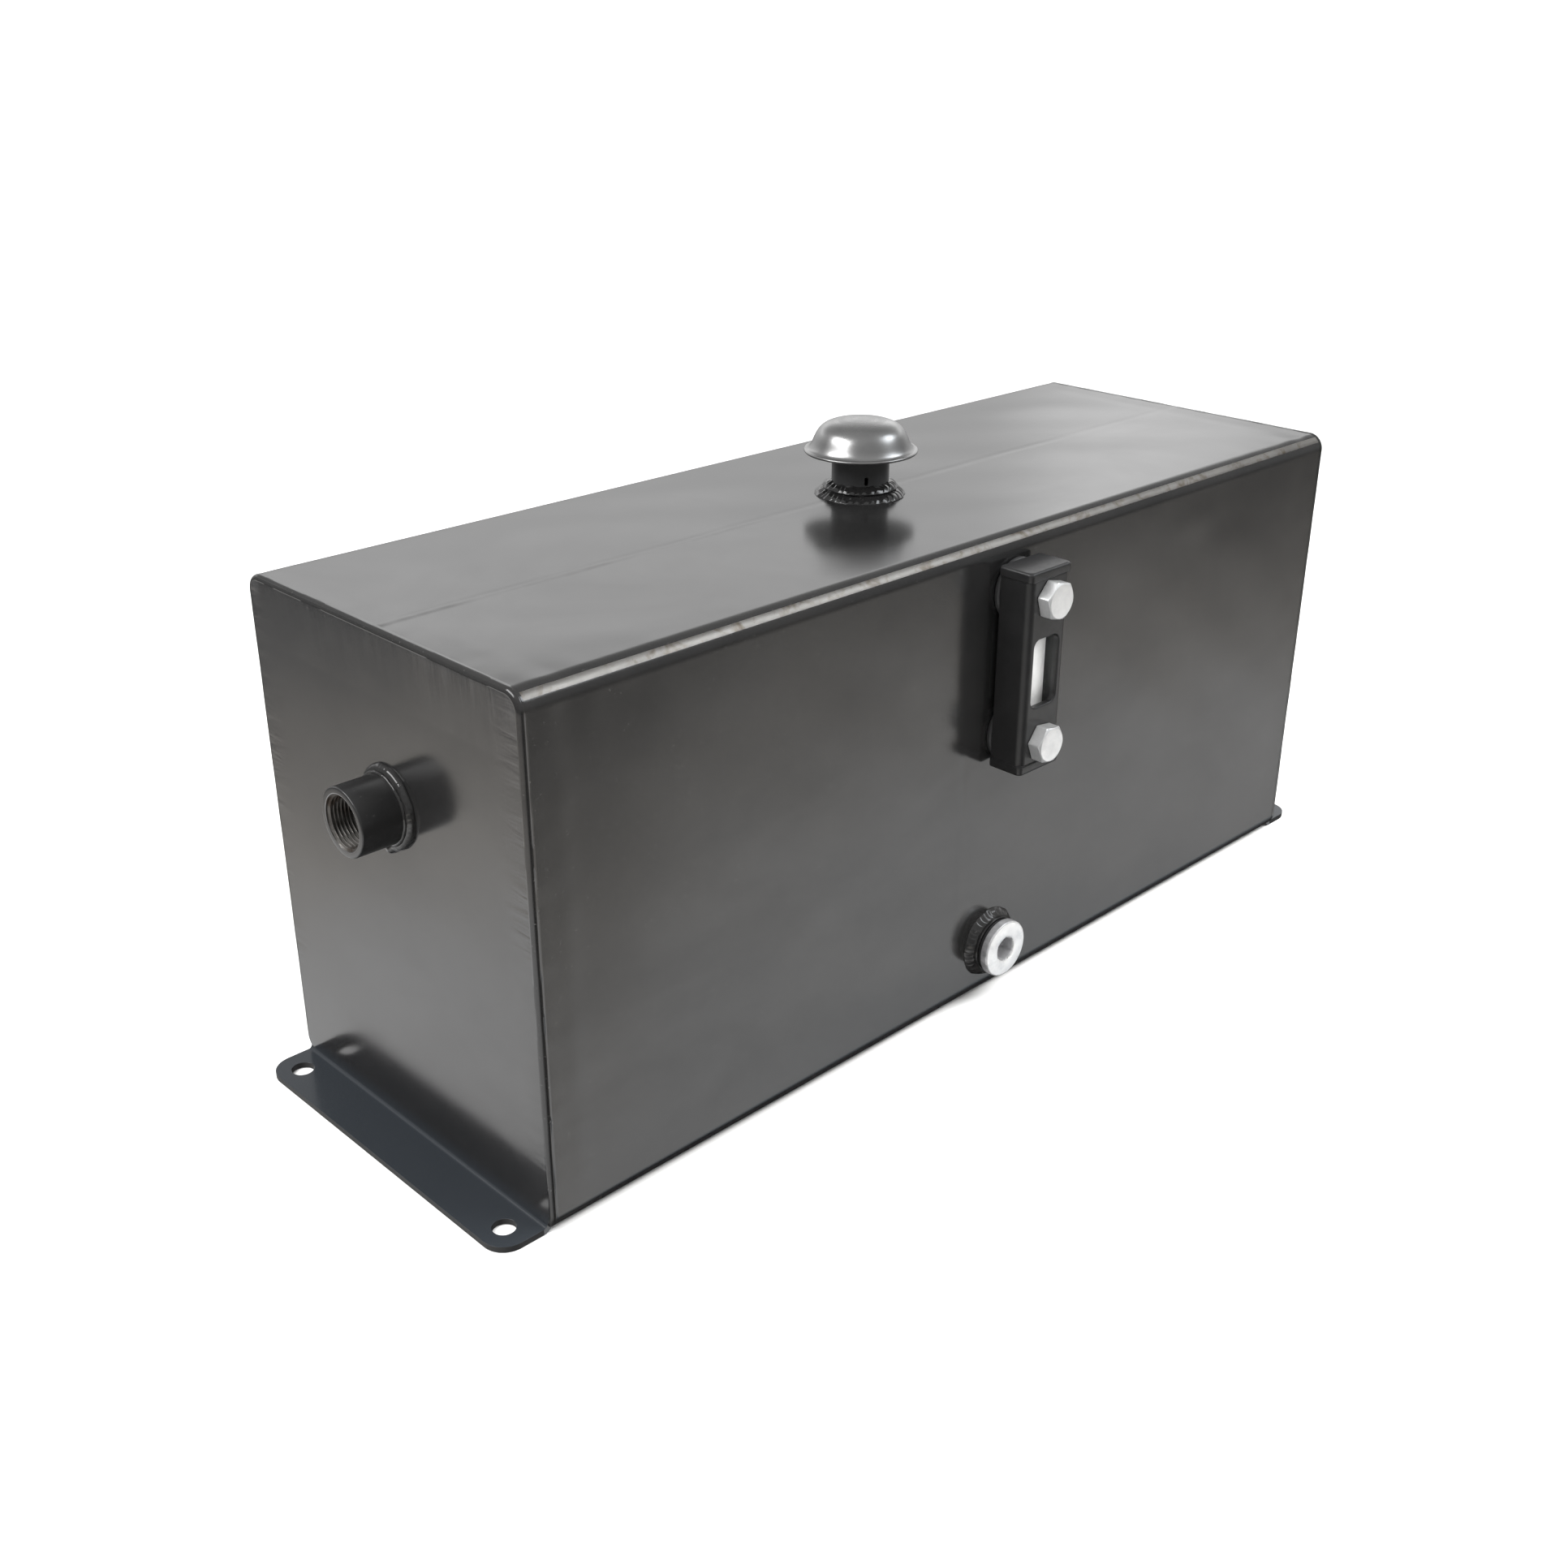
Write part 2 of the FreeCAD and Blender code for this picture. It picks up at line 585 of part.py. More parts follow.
gasket = turn("gasket_body", [
    ("thread_male/2+0.05", "neck_rise"), ("neck_dia/2", "neck_rise"),
    ("neck_dia/2", "neck_rise+gasket_thick"), ("thread_male/2+0.05", "neck_rise+gasket_thick")])
seat(gasket, "filler_x", "0", "tank_top")
keep("breather_gasket", gasket)

SEAT = "neck_rise+gasket_thick"        # the stem's flange rests here
stem = turn("stem_body", [
    ("stem_bore/2", "%s-gasket_thick-stem_thread" % SEAT),
    ("thread_male/2-1", "%s-gasket_thick-stem_thread" % SEAT),
    ("thread_male/2", "%s-gasket_thick-stem_thread+1" % SEAT),
    ("thread_male/2", SEAT), ("neck_dia/2", SEAT), ("neck_dia/2", SEAT + "+stem_flange"),
    ("stem_bore/2+2", SEAT + "+stem_flange"), ("stem_bore/2+2", SEAT + "+stem_flange+3.2"),
    ("stem_bore/2", SEAT + "+stem_flange+3.2")])
seat(stem, "filler_x", "0", "tank_top")
keep("breather_stem", stem)

disc = new_body("disc_body")
s = new_sketch(disc, "disc_section", "XZ_Plane")
polygon(s, [("stem_bore/2+2", SEAT + "+stem_flange"), ("cap_rim_dia/2-6.8", SEAT + "+stem_flange"),
            ("cap_rim_dia/2-6.8", SEAT + "+stem_flange+cap_sheet"),
            ("stem_bore/2+2", SEAT + "+stem_flange+cap_sheet")])
f = disc.newObject("PartDesign::Revolution", "disc_turn")
f.Profile = s
f.ReferenceAxis = (s, ["V_Axis"])
f.Angle = 360
doc.recompute()
s = new_sketch(disc, "disc_hole_outline", "XY_Plane", SEAT + "+stem_flange-1")
circle(s, "19.5", "0", "disc_hole/2")
f = pocket(disc, "disc_hole", s, "cap_sheet+2", reverse=True)
p = disc.newObject("PartDesign::PolarPattern", "disc_holes")
p.Originals = [f]
p.Axis = (base_plane(disc, "Z_Axis"), [""])
p.Angle = 360
p.Occurrences = 10
disc.Tip = p
doc.recompute()
seat(disc, "filler_x", "0", "tank_top")
keep("breather_base", disc)

foam = turn("foam_body", [
    ("stem_bore/2+2.6", SEAT + "+stem_flange+cap_sheet"), ("20.0", SEAT + "+stem_flange+cap_sheet"),
    ("20.0", SEAT + "+stem_flange+cap_sheet+2.4"), ("18.6", SEAT + "+stem_flange+cap_sheet+4.0"),
    ("stem_bore/2+2.6", SEAT + "+stem_flange+cap_sheet+4.0")])
seat(foam, "filler_x", "0", "tank_top")
keep("breather_element", foam)

# the cap is a free-form pressing: a smooth crown line, offset inward by the
# sheet and turned, with the rim rolled into a small ring
crown = [(0.0, 39.5), (7.0, 39.15), (13.0, 38.35), (18.1, 36.9), (21.5, 34.6), (23.6, 31.6),
         (25.1, 28.4), (26.5, 25.6), (28.0, 24.0), (29.0, 23.5)]
scale_r, base_h = num("cap_rim_dia") / 59.6, num("cap_height") - 39.5
outer_points = [V(r * scale_r, 0, z + base_h) for r, z in crown]
curve = Part.BSplineCurve()
curve.interpolate(Points=outer_points, InitialTangent=V(1, 0, 0), FinalTangent=V(1, 0, -0.15))
sheet_t = num("cap_sheet")
samples = 26
inner_points = []
for i in range(samples):
    u = curve.FirstParameter + (curve.LastParameter - curve.FirstParameter) * i / (samples - 1)
    point, tangent = curve.value(u), curve.tangent(u)[0]
    normal = V(tangent.z, 0, -tangent.x)            # towards the inside
    inner_points.append(point + normal * sheet_t)
inner_points[0].x = 0.0
inner_curve = Part.BSplineCurve()
inner_curve.interpolate(Points=inner_points)
profile = Part.Wire([curve.toShape(), Part.LineSegment(outer_points[-1], inner_points[-1]).toShape(),
                     inner_curve.toShape(), Part.LineSegment(inner_points[0], outer_points[0]).toShape()])
dome = Part.Face(profile).revolve(V(0, 0, 0), V(0, 0, 1), 360)
rim_r = 0.75
rim = Part.makeTorus(num("cap_rim_dia") / 2 - rim_r, rim_r, V(0, 0, num("cap_rim_low") + rim_r), V(0, 0, 1))
cap = doc.addObject("Part::Feature", "cap_pressing")
shape = dome.fuse(rim).removeSplitter()
cap.Shape = shape.Solids[0] if len(shape.Solids) == 1 else shape
cap.Placement = FreeCAD.Placement(V(num("filler_x"), 0, num("tank_top")), FreeCAD.Rotation())
keep("breather_cap", cap)

# --------------------------------------------------------------------------
# level gauge
# --------------------------------------------------------------------------

WALL = "tank_depth/2"
GX0, GX1 = "gauge_x-gauge_body/2", "gauge_x+gauge_body/2"
GZ0, GZ1 = "gauge_mid-gauge_len/2", "gauge_mid+gauge_len/2"

house = new_body("housing_body")
s = new_sketch(house, "housing_outline", "XZ_Plane", WALL + "+gauge_gap")
rectangle(s, GX0, GX1, GZ0, GZ1)
f = pad(house, "housing_block", s, "gauge_face_out-gauge_gap")
front_y = -num(WALL + "+gauge_face_out")
f = fillet(house, "housing_long_edges", f, pick_edges(
    f.Shape, lambda e: along(e, 2) and near(e.Vertexes[0].Point.y, front_y)), "housing_round")
for tag, z0, z1 in (("lower", GZ0, GZ0 + "+gauge_lip"), ("upper", GZ1 + "-gauge_lip", GZ1)):
    s = new_sketch(house, "lip_%s_outline" % tag, "XZ_Plane", WALL + "+gauge_gap")
    rectangle(s, "gauge_x-gauge_width/2", "gauge_x+gauge_width/2", z0, z1)
    f = pad(house, "lip_" + tag, s, "gauge_lip_out-gauge_gap")
lip_y = -num(WALL + "+gauge_lip_out")
f = fillet(house, "lip_corners", f, pick_edges(
    f.Shape, lambda e: along(e, 2) and near(e.Vertexes[0].Point.y, lip_y)), "lip_corner")
f = fillet(house, "lip_rounds", f, pick_edges(
    f.Shape, lambda e: along(e, 0) and near(e.Vertexes[0].Point.y, lip_y)
    and (near(e.Vertexes[0].Point.z, num(GZ0)) or near(e.Vertexes[0].Point.z, num(GZ1)))), "lip_round")
s = new_sketch(house, "housing_channel_outline", "XZ_Plane", WALL + "+gauge_gap-1")
rectangle(s, "gauge_x-11.2", "gauge_x+11.2", GZ0 + "+6.5", GZ1 + "-6.5")
f = pocket(house, "housing_channel", s, "gauge_face_out-gauge_gap-3.2+1", reverse=True)
s = new_sketch(house, "window_outline", "XZ_Plane", WALL + "+gauge_gap")
rectangle(s, "gauge_x-window_width/2", "gauge_x+window_width/2",
          "gauge_mid-window_len/2-0.4", "gauge_mid+window_len/2-0.4")
f = pocket(house, "window", s, "gauge_lip_out+5", reverse=True)
f = fillet(house, "window_corners", f, pick_edges(
    f.Shape, lambda e: along(e, 1) and near(abs(e.Vertexes[0].Point.x - num("gauge_x")), num("window_width/2"))),
    "window_corner")
s = new_sketch(house, "housing_bolt_outline", "XZ_Plane", WALL + "+gauge_gap")
for sg in ("+", "-"):
    circle(s, "gauge_x", "gauge_mid%sgauge_pitch/2" % sg, "bolt_dia/2+0.25")
f = pocket(house, "housing_bolt_holes", s, "gauge_lip_out+5", reverse=True)
s = new_sketch(house, "housing_seal_outline", "XZ_Plane", WALL + "+gauge_face_out-head_seal_thick")
for sg in ("+", "-"):
    circle(s, "gauge_x", "gauge_mid%sgauge_pitch/2" % sg, "head_seal_seat/2")
f = pocket(house, "housing_seal_seats", s, "5", reverse=True)
keep("gauge_housing", house)

# clear sight glass: a moulded block with the oil channel behind its front wall
lens = new_body("lens_body")
s = new_sketch(lens, "lens_outline", "XZ_Plane", WALL + "+gauge_gap+0.6")
rectangle(s, "gauge_x-11.1", "gauge_x+11.1", GZ0 + "+6.6", GZ1 + "-6.6")
f = pad(lens, "lens_block", s, "gauge_face_out-gauge_gap-3.3-0.6")
s = new_sketch(lens, "lens_channel_outline", "XZ_Plane", WALL + "+gauge_gap+10.4")
rectangle(s, "gauge_x-9.7", "gauge_x+9.7", "gauge_mid-26", "gauge_mid+26")
f = pocket(lens, "lens_channel", s, "gauge_face_out-gauge_gap-3.3-10.4-2.0", reverse=True)
s = new_sketch(lens, "lens_feed_outline", "XY_Plane", "gauge_mid-gauge_pitch/2")
circle(s, "gauge_x", "-(tank_depth/2+gauge_gap+12.5)", "bolt_cross/2")
f = pocket(lens, "lens_feed", s, "gauge_pitch", reverse=True)
s = new_sketch(lens, "lens_bolt_outline", "XZ_Plane", WALL + "+gauge_gap-1")
for sg in ("+", "-"):
    circle(s, "gauge_x", "gauge_mid%sgauge_pitch/2" % sg, "bolt_dia/2+0.15")
f = pocket(lens, "lens_bolt_holes", s, "gauge_face_out+5", reverse=True)
keep("gauge_sight_glass", lens)

strip = new_body("strip_body")
# white strip on the back wall of the channel
s = new_sketch(strip, "strip_outline", "XZ_Plane", WALL + "+gauge_gap+10.4")
rectangle(s, "gauge_x-9.6", "gauge_x+9.6", "gauge_mid-25.8", "gauge_mid+25.8")
f = pad(strip, "strip_sheet", s, "strip_thick")
keep("gauge_reflector", strip)


def gauge_bolt(label, sg, degrees):
    """Hollow M12 hexagon bolt: head outside, shank through seals, wall and nut."""
    body = new_body(label + "_body")
    s = new_sketch(body, label + "_hex", "XY_Plane")
    turned_hexagon(s, "bolt_af", degrees)
    f = pad(body, label + "_head", s, "bolt_head")
    # chamfered corners of the head: common volume of hexagon and a cone
    s = new_sketch(body, label + "_chamfer", "XZ_Plane")
    polygon(s, [("bolt_af/2-0.4", "bolt_head+1"), ("bolt_af", "bolt_head+1"),
                ("bolt_af", "bolt_head-3.2"), ("bolt_af*0.577350269+0.4", "bolt_head-1.42"),
                ("bolt_af/2-0.4", "bolt_head")])
    g = body.newObject("PartDesign::Groove", label + "_corners")
    g.Profile = s
    g.ReferenceAxis = (s, ["V_Axis"])
    g.Angle = 360
    doc.recompute()
    if not g.Shape.Volume < f.Shape.Volume - 1e-6:
        raise RuntimeError(label)
    s = new_sketch(body, label + "_shank_outline", "XY_Plane")
    circle(s, "0", "0", "bolt_dia/2")
    f = pad(body, label + "_shank", s, "gauge_face_out+sheet+16", reverse=True)
    # drilled from the inner end, with a cross hole level with the sight glass
    s = new_sketch(body, label + "_drill_outline", "XY_Plane", "-(gauge_face_out+sheet+16)")
    circle(s, "0", "0", "bolt_drill/2")
    f = pocket(body, label + "_drill", s, "gauge_face_out+sheet+16-4.5", reverse=True)
    s = new_sketch(body, label + "_cross_outline", "XZ_Plane")
    circle(s, "0", "-(gauge_face_out-gauge_gap-12.5)", "bolt_cross/2")
    f = pocket(body, label + "_cross", s, "bolt_dia+4", side="Symmetric")
    seat(body, "gauge_x", "-(%s+gauge_face_out)" % WALL, "gauge_mid%sgauge_pitch/2" % sg, "front")
    return keep(label, body)


def gauge_ring(label, sg, inner, outer, y_from, thick, crown_in=0.0):
    """A round ring on a gauge bolt's axis; y_from is its inner face from the wall."""
    body = turn(label + "_body", [
        (inner, "0"), ("%s-%g" % (outer, crown_in), "0"), (outer, "(%s)/2" % thick),
        ("%s-%g" % (outer, crown_in), thick), (inner, thick)] if crown_in else
        [(inner, "0"), (outer, "0"), (outer, thick), (inner, thick)])
    seat(body, "gauge_x", "-(%s+%s)" % (WALL, y_from), "gauge_mid%sgauge_pitch/2" % sg, "front")
    return keep(label, body)


for tag, sg, degrees in (("upper", "+", -13.0), ("lower", "-", -8.0)):
    gauge_bolt("gauge_bolt_" + tag, sg, degrees)
    gauge_ring("gauge_head_seal_" + tag, sg, "bolt_dia/2+0.05", "head_seal_dia/2",
               "gauge_face_out-head_seal_thick", "head_seal_thick")
    gauge_ring("gauge_seal_" + tag, sg, "bolt_dia/2+0.6", "gauge_width/2",
               "0", "gauge_gap", crown_in=0.7)
    gauge_ring("gauge_washer_" + tag, sg, "bolt_dia/2+0.3", "washer_dia/2",
               "-sheet-washer_thick", "washer_thick")
    nut = new_body("gauge_nut_%s_body" % tag)
    s = new_sketch(nut, "gauge_nut_%s_hex" % tag, "XY_Plane")
    hexagon(s, "bolt_af")
    circle(s, "0", "0", "bolt_dia/2+0.05")
    f = pad(nut, "gauge_nut_%s_block" % tag, s, "nut_height", reverse=True)
    seat(nut, "gauge_x", "-(%s-sheet-washer_thick)" % WALL, "gauge_mid%sgauge_pitch/2" % sg, "front")
    keep("gauge_nut_" + tag, nut)

# --------------------------------------------------------------------------
# drain: boss set into the front wall, weld, sealing ring and collar plug
# --------------------------------------------------------------------------

boss = turn("boss_body", [
    ("thread_minor/2", "-boss_in"), ("boss_dia/2", "-boss_in"), ("boss_dia/2", "boss_out-0.5"),
    ("boss_dia/2-0.5", "boss_out"), ("thread_minor/2+1.0", "boss_out"),
    ("thread_minor/2", "boss_out-1.0")])
seat(boss, "drain_x", "-" + WALL, "drain_z", "front")
keep("drain_boss", boss)

weld = turn("boss_weld_body", [
    ("boss_dia/2", "0"), ("boss_dia/2+4.0", "0"), ("boss_dia/2+3.4", "1.7"),
    ("boss_dia/2+2.4", "3.2"), ("boss_dia/2+1.1", "4.3"), ("boss_dia/2", "4.8")])
seat(weld, "drain_x", "-" + WALL, "drain_z", "front")
keep("drain_boss_weld", weld)

seal = turn("drain_seal_body", [
    ("thread_male/2+0.06", "boss_out"), ("14.6", "boss_out"), ("14.9", "boss_out+0.5"),
    ("14.9", "boss_out+drain_seal_thick-0.5"), ("14.6", "boss_out+drain_seal_thick"),
    ("thread_male/2+0.06", "boss_out+drain_seal_thick")])
seat(seal, "drain_x", "-" + WALL, "drain_z", "front")
keep("drain_seal", seal)

plug = new_body("plug_body")
s = new_sketch(plug, "plug_section", "XZ_Plane")
polygon(s, [("0", "-plug_thread"), ("thread_male/2-1.2", "-plug_thread"),
            ("thread_male/2", "-plug_thread+1.2"), ("thread_male/2", "-2.6"),
            ("thread_male/2-0.9", "-2.0"), ("thread_male/2-0.9", "0"),
            ("plug_collar/2-0.3", "0"), ("plug_collar/2", "0.3"),
            ("plug_collar/2", "plug_collar_thick-0.9"), ("plug_collar/2-0.9", "plug_collar_thick"),
            ("0", "plug_collar_thick")])
f = plug.newObject("PartDesign::Revolution", "plug_turn")
f.Profile = s
f.ReferenceAxis = (s, ["V_Axis"])
f.Angle = 360
doc.recompute()
s = new_sketch(plug, "plug_hex_outline", "XY_Plane", "plug_collar_thick")
hexagon(s, "plug_hex", corner_up=True)
f = pocket(plug, "plug_socket", s, "plug_hex_deep")
seat(plug, "drain_x", "-(%s+boss_out+drain_seal_thick)" % WALL, "drain_z", "front")
keep("drain_plug", plug)

# --------------------------------------------------------------------------
# sockets on the two ends, with their welds
# --------------------------------------------------------------------------

socket = turn("return_socket_body", [
    ("thread_minor/2", "-socket_in"), ("socket_dia/2", "-socket_in"),
    ("socket_dia/2", "socket_out-0.8"), ("socket_dia/2-0.8", "socket_out"),
    ("thread_minor/2+1.5", "socket_out"), ("thread_minor/2", "socket_out-1.5")])
seat(socket, "-tank_length/2", "return_y", "return_z", "left")
keep("return_socket", socket)

socket = turn("suction_socket_body", [
    ("strainer_thread/2", "-socket_in"), ("socket_dia/2", "-socket_in"),
    ("socket_dia/2", "socket_out-0.8"), ("socket_dia/2-0.8", "socket_out"),
    ("thread_minor/2+1.5", "socket_out"), ("thread_minor/2", "socket_out-1.5"),
    ("thread_minor/2", "4.0"), ("strainer_thread/2", "4.0")])
seat(socket, "tank_length/2", "suction_y", "suction_z", "right")
keep("suction_socket", socket)

for label, x, y, z, way in (("return_socket_weld", "-tank_length/2", "return_y", "return_z", "left"),
                            ("suction_socket_weld", "tank_length/2", "suction_y", "suction_z", "right")):
    weld = turn(label + "_body", [
        ("socket_dia/2", "0"), ("socket_dia/2+4.3", "0"), ("socket_dia/2+3.7", "1.6"),
        ("socket_dia/2+2.5", "3.0"), ("socket_dia/2+1.2", "3.9"), ("socket_dia/2", "4.2")])
    seat(weld, x, y, z, way)
    keep(label, weld)

# --------------------------------------------------------------------------
# suction strainer, screwed into the inner end of the suction socket
# (its own Z points out of the tank, so it lies at negative heights)
# --------------------------------------------------------------------------

HUB = "-socket_in"
hub = new_body("hub_body")
s = new_sketch(hub, "hub_section", "XZ_Plane")
polygon(s, [("7.0", HUB + "-9.0"), ("strainer_dia/2", HUB + "-9.0"), ("strainer_dia/2", HUB + "-2.0"),
            ("strainer_dia/2-2", HUB), ("strainer_thread/2-0.02", HUB),
            ("strainer_thread/2-0.02", HUB + "+9.0"), ("7.0", HUB + "+9.0")])
f = hub.newObject("PartDesign::Revolution", "hub_turn")
f.Profile = s
f.ReferenceAxis = (s, ["V_Axis"])
f.Angle = 360
doc.recompute()
seat(hub, "tank_length/2", "suction_y", "suction_z", "right")
keep("strainer_hub", hub)

END = HUB + "-9.0-strainer_len"
core = new_body("core_body")
s = new_sketch(core, "core_section", "XZ_Plane")
polygon(s, [("8.0", END), ("9.2", END), ("9.2", HUB + "-9.0"), ("8.0", HUB + "-9.0")])
f = core.newObject("PartDesign::Revolution", "core_turn")
f.Profile = s
f.ReferenceAxis = (s, ["V_Axis"])
f.Angle = 360
doc.recompute()
s = new_sketch(core, "core_hole_outline", "XZ_Plane")
for i in range(5):
    circle(s, "0", "%s+%g" % (END, 11.0 + 17.0 * i), "strainer_hole/2")
f = pocket(core, "core_holes", s, "30", side="Symmetric")
p = core.newObject("PartDesign::PolarPattern", "core_hole_rows")
p.Originals = [f]
p.Axis = (base_plane(core, "Z_Axis"), [""])
p.Angle = 180
p.Occurrences = 3
core.Tip = p
doc.recompute()
seat(core, "tank_length/2", "suction_y", "suction_z", "right")
keep("strainer_core", core)

mesh = turn("mesh_body", [
    ("strainer_dia/2-2.0", END), ("strainer_dia/2-1.0", END),
    ("strainer_dia/2-1.0", HUB + "-9.0"), ("strainer_dia/2-2.0", HUB + "-9.0")])
seat(mesh, "tank_length/2", "suction_y", "suction_z", "right")
keep("strainer_mesh", mesh)

end = turn("strainer_end_body", [
    ("0", END + "-3.0"), ("strainer_dia/2-0.8", END + "-3.0"), ("strainer_dia/2", END + "-2.2"),
    ("strainer_dia/2", END), ("0", END)])
seat(end, "tank_length/2", "suction_y", "suction_z", "right")
keep("strainer_end", end)

# --------------------------------------------------------------------------
# checks and export
# --------------------------------------------------------------------------

doc.recompute()

bad = []
for obj in doc.Objects:
    if "Invalid" in obj.State or "Error" in obj.State:
        bad.append("%s: %s" % (obj.Name, obj.State))
for label, obj in NODES:
    if obj.Shape.isNull() or not obj.Shape.isValid() or not obj.Shape.Solids:
        bad.append("%s: shape" % label)
if bad:
    raise RuntimeError("; ".join(bad))

os.makedirs("parts", exist_ok=True)
for label, obj in NODES:
    obj.Shape.exportStep("parts/%s.step" % label)
    box = obj.Shape.optimalBoundingBox(False)
    print("%-24s solids %2d  volume %12.1f  x %8.2f %8.2f  y %8.2f %8.2f  z %8.2f %8.2f" % (
        label, len(obj.Shape.Solids), obj.Shape.Volume,
        box.XMin, box.XMax, box.YMin, box.YMax, box.ZMin, box.ZMax))
print("nodes:", len(NODES))
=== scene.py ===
import math

import bmesh
import bpy
import numpy as np
from mathutils import Matrix, Vector


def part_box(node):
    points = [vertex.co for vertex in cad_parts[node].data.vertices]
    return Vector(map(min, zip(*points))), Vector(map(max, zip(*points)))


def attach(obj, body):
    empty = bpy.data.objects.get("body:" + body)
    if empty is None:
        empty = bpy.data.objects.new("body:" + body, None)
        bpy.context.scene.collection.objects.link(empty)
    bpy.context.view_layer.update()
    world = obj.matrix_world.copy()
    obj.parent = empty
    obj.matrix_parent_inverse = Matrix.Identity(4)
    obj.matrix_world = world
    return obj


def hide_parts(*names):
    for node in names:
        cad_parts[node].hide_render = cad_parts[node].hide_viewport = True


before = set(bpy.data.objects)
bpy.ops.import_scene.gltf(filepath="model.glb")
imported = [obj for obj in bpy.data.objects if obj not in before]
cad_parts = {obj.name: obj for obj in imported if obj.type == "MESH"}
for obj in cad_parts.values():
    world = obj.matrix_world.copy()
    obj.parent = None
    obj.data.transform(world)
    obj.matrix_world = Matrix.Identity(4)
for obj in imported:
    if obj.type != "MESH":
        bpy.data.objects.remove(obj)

# Hydraulic reservoir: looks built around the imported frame. Lengths in this
# script are millimetres in the row frame unless a name says otherwise.

MM = 0.001
TAU = 2 * math.pi
PITCH = 25.4 / 14                       # three-quarter inch pipe thread
scene = bpy.context.scene
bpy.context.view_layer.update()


def span(node):
    """Lowest and highest corner of a CAD node, in millimetres."""
    low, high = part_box(node)
    return np.array(low) * 1000, np.array(high) * 1000


W0, W1 = span("tank_wrap")
HX, HY, ZB, ZT = W1[0], W1[1], W0[2], W1[2]       # 292, 104, 1, 260
P0, P1 = span("left_end_plate")
END = -P0[0]                                      # tip of a foot, 321
B0, B1 = span("drain_boss")
DRAIN = ((B0[0] + B1[0]) / 2, -HY, (B0[2] + B1[2]) / 2)
BOSS = -HY - B0[1]                                # boss beyond the wall, 6
N0, N1 = span("filler_neck")
NECK = ((N0[0] + N1[0]) / 2, 0.0, ZT)
R0, R1 = span("return_socket")
RETURN = (-(HX + 3), (R0[1] + R1[1]) / 2, (R0[2] + R1[2]) / 2)
S0, S1 = span("suction_socket")
SUCTION = (HX + 3, (S0[1] + S1[1]) / 2, (S0[2] + S1[2]) / 2)
G0, G1 = span("gauge_housing")
GX, GZ0, GZ1 = (G0[0] + G1[0]) / 2, G0[2], G1[2]
U0, U1 = span("gauge_bolt_upper")
L0, L1 = span("gauge_bolt_lower")
BOLTS = {"upper": (U0[2] + U1[2]) / 2, "lower": (L0[2] + L1[2]) / 2}


# ---------------------------------------------------------------- materials

def new_material(name):
    mat = bpy.data.materials.new(name)
    mat.use_nodes = True
    tree = mat.node_tree
    tree.nodes.clear()
    out = tree.nodes.new("ShaderNodeOutputMaterial")
    shader = tree.nodes.new("ShaderNodeBsdfPrincipled")
    tree.links.new(shader.outputs["BSDF"], out.inputs["Surface"])
    return mat, tree, shader


def coordinates(tree, scale=(1, 1, 1)):
    coord = tree.nodes.new("ShaderNodeTexCoord")
    mapping = tree.nodes.new("ShaderNodeMapping")
    mapping.inputs["Scale"].default_value = scale
    tree.links.new(coord.outputs["Object"], mapping.inputs["Vector"])
    return mapping.outputs["Vector"]


def noise_value(tree, vector, scale, detail=4.0, rough=0.55, distortion=0.0, dims="3D"):
    node = tree.nodes.new("ShaderNodeTexNoise")
    node.noise_dimensions = dims
    node.inputs["Scale"].default_value = scale
    node.inputs["Detail"].default_value = detail
    node.inputs["Roughness"].default_value = rough
    node.inputs["Distortion"].default_value = distortion
    tree.links.new(vector, node.inputs["W" if dims == "1D" else "Vector"])
    return node.outputs["Fac"]


def remap(tree, value, low, high, to_low, to_high):
    node = tree.nodes.new("ShaderNodeMapRange")
    node.inputs["From Min"].default_value = low
    node.inputs["From Max"].default_value = high
    node.inputs["To Min"].default_value = to_low
    node.inputs["To Max"].default_value = to_high
    tree.links.new(value, node.inputs["Value"])
    return node.outputs["Result"]


def combine(tree, op, a, b):
    node = tree.nodes.new("ShaderNodeMath")
    node.operation = op
    for socket, value in zip(node.inputs, (a, b)):
        if isinstance(value, (int, float)):
            socket.default_value = value
        else:
            tree.links.new(value, socket)
    return node.outputs[0]


def blend_colour(tree, factor, a, b):
    node = tree.nodes.new("ShaderNodeMix")
    node.data_type = "RGBA"
    fac, first, second = node.inputs[0], node.inputs[6], node.inputs[7]
    if isinstance(factor, (int, float)):
        fac.default_value = factor
    else:
        tree.links.new(factor, fac)
    for socket, value in ((first, a), (second, b)):
        if isinstance(value, tuple):
            socket.default_value = (*value, 1.0) if len(value) == 3 else value
        else:
            tree.links.new(value, socket)
    return node.outputs[2]


def bump(tree, height, strength, distance, normal=None):
    node = tree.nodes.new("ShaderNodeBump")
    node.inputs["Strength"].default_value = strength
    node.inputs["Distance"].default_value = distance
    tree.links.new(height, node.inputs["Height"])
    if normal is not None:
        tree.links.new(normal, node.inputs["Normal"])
    return node.outputs["Normal"]


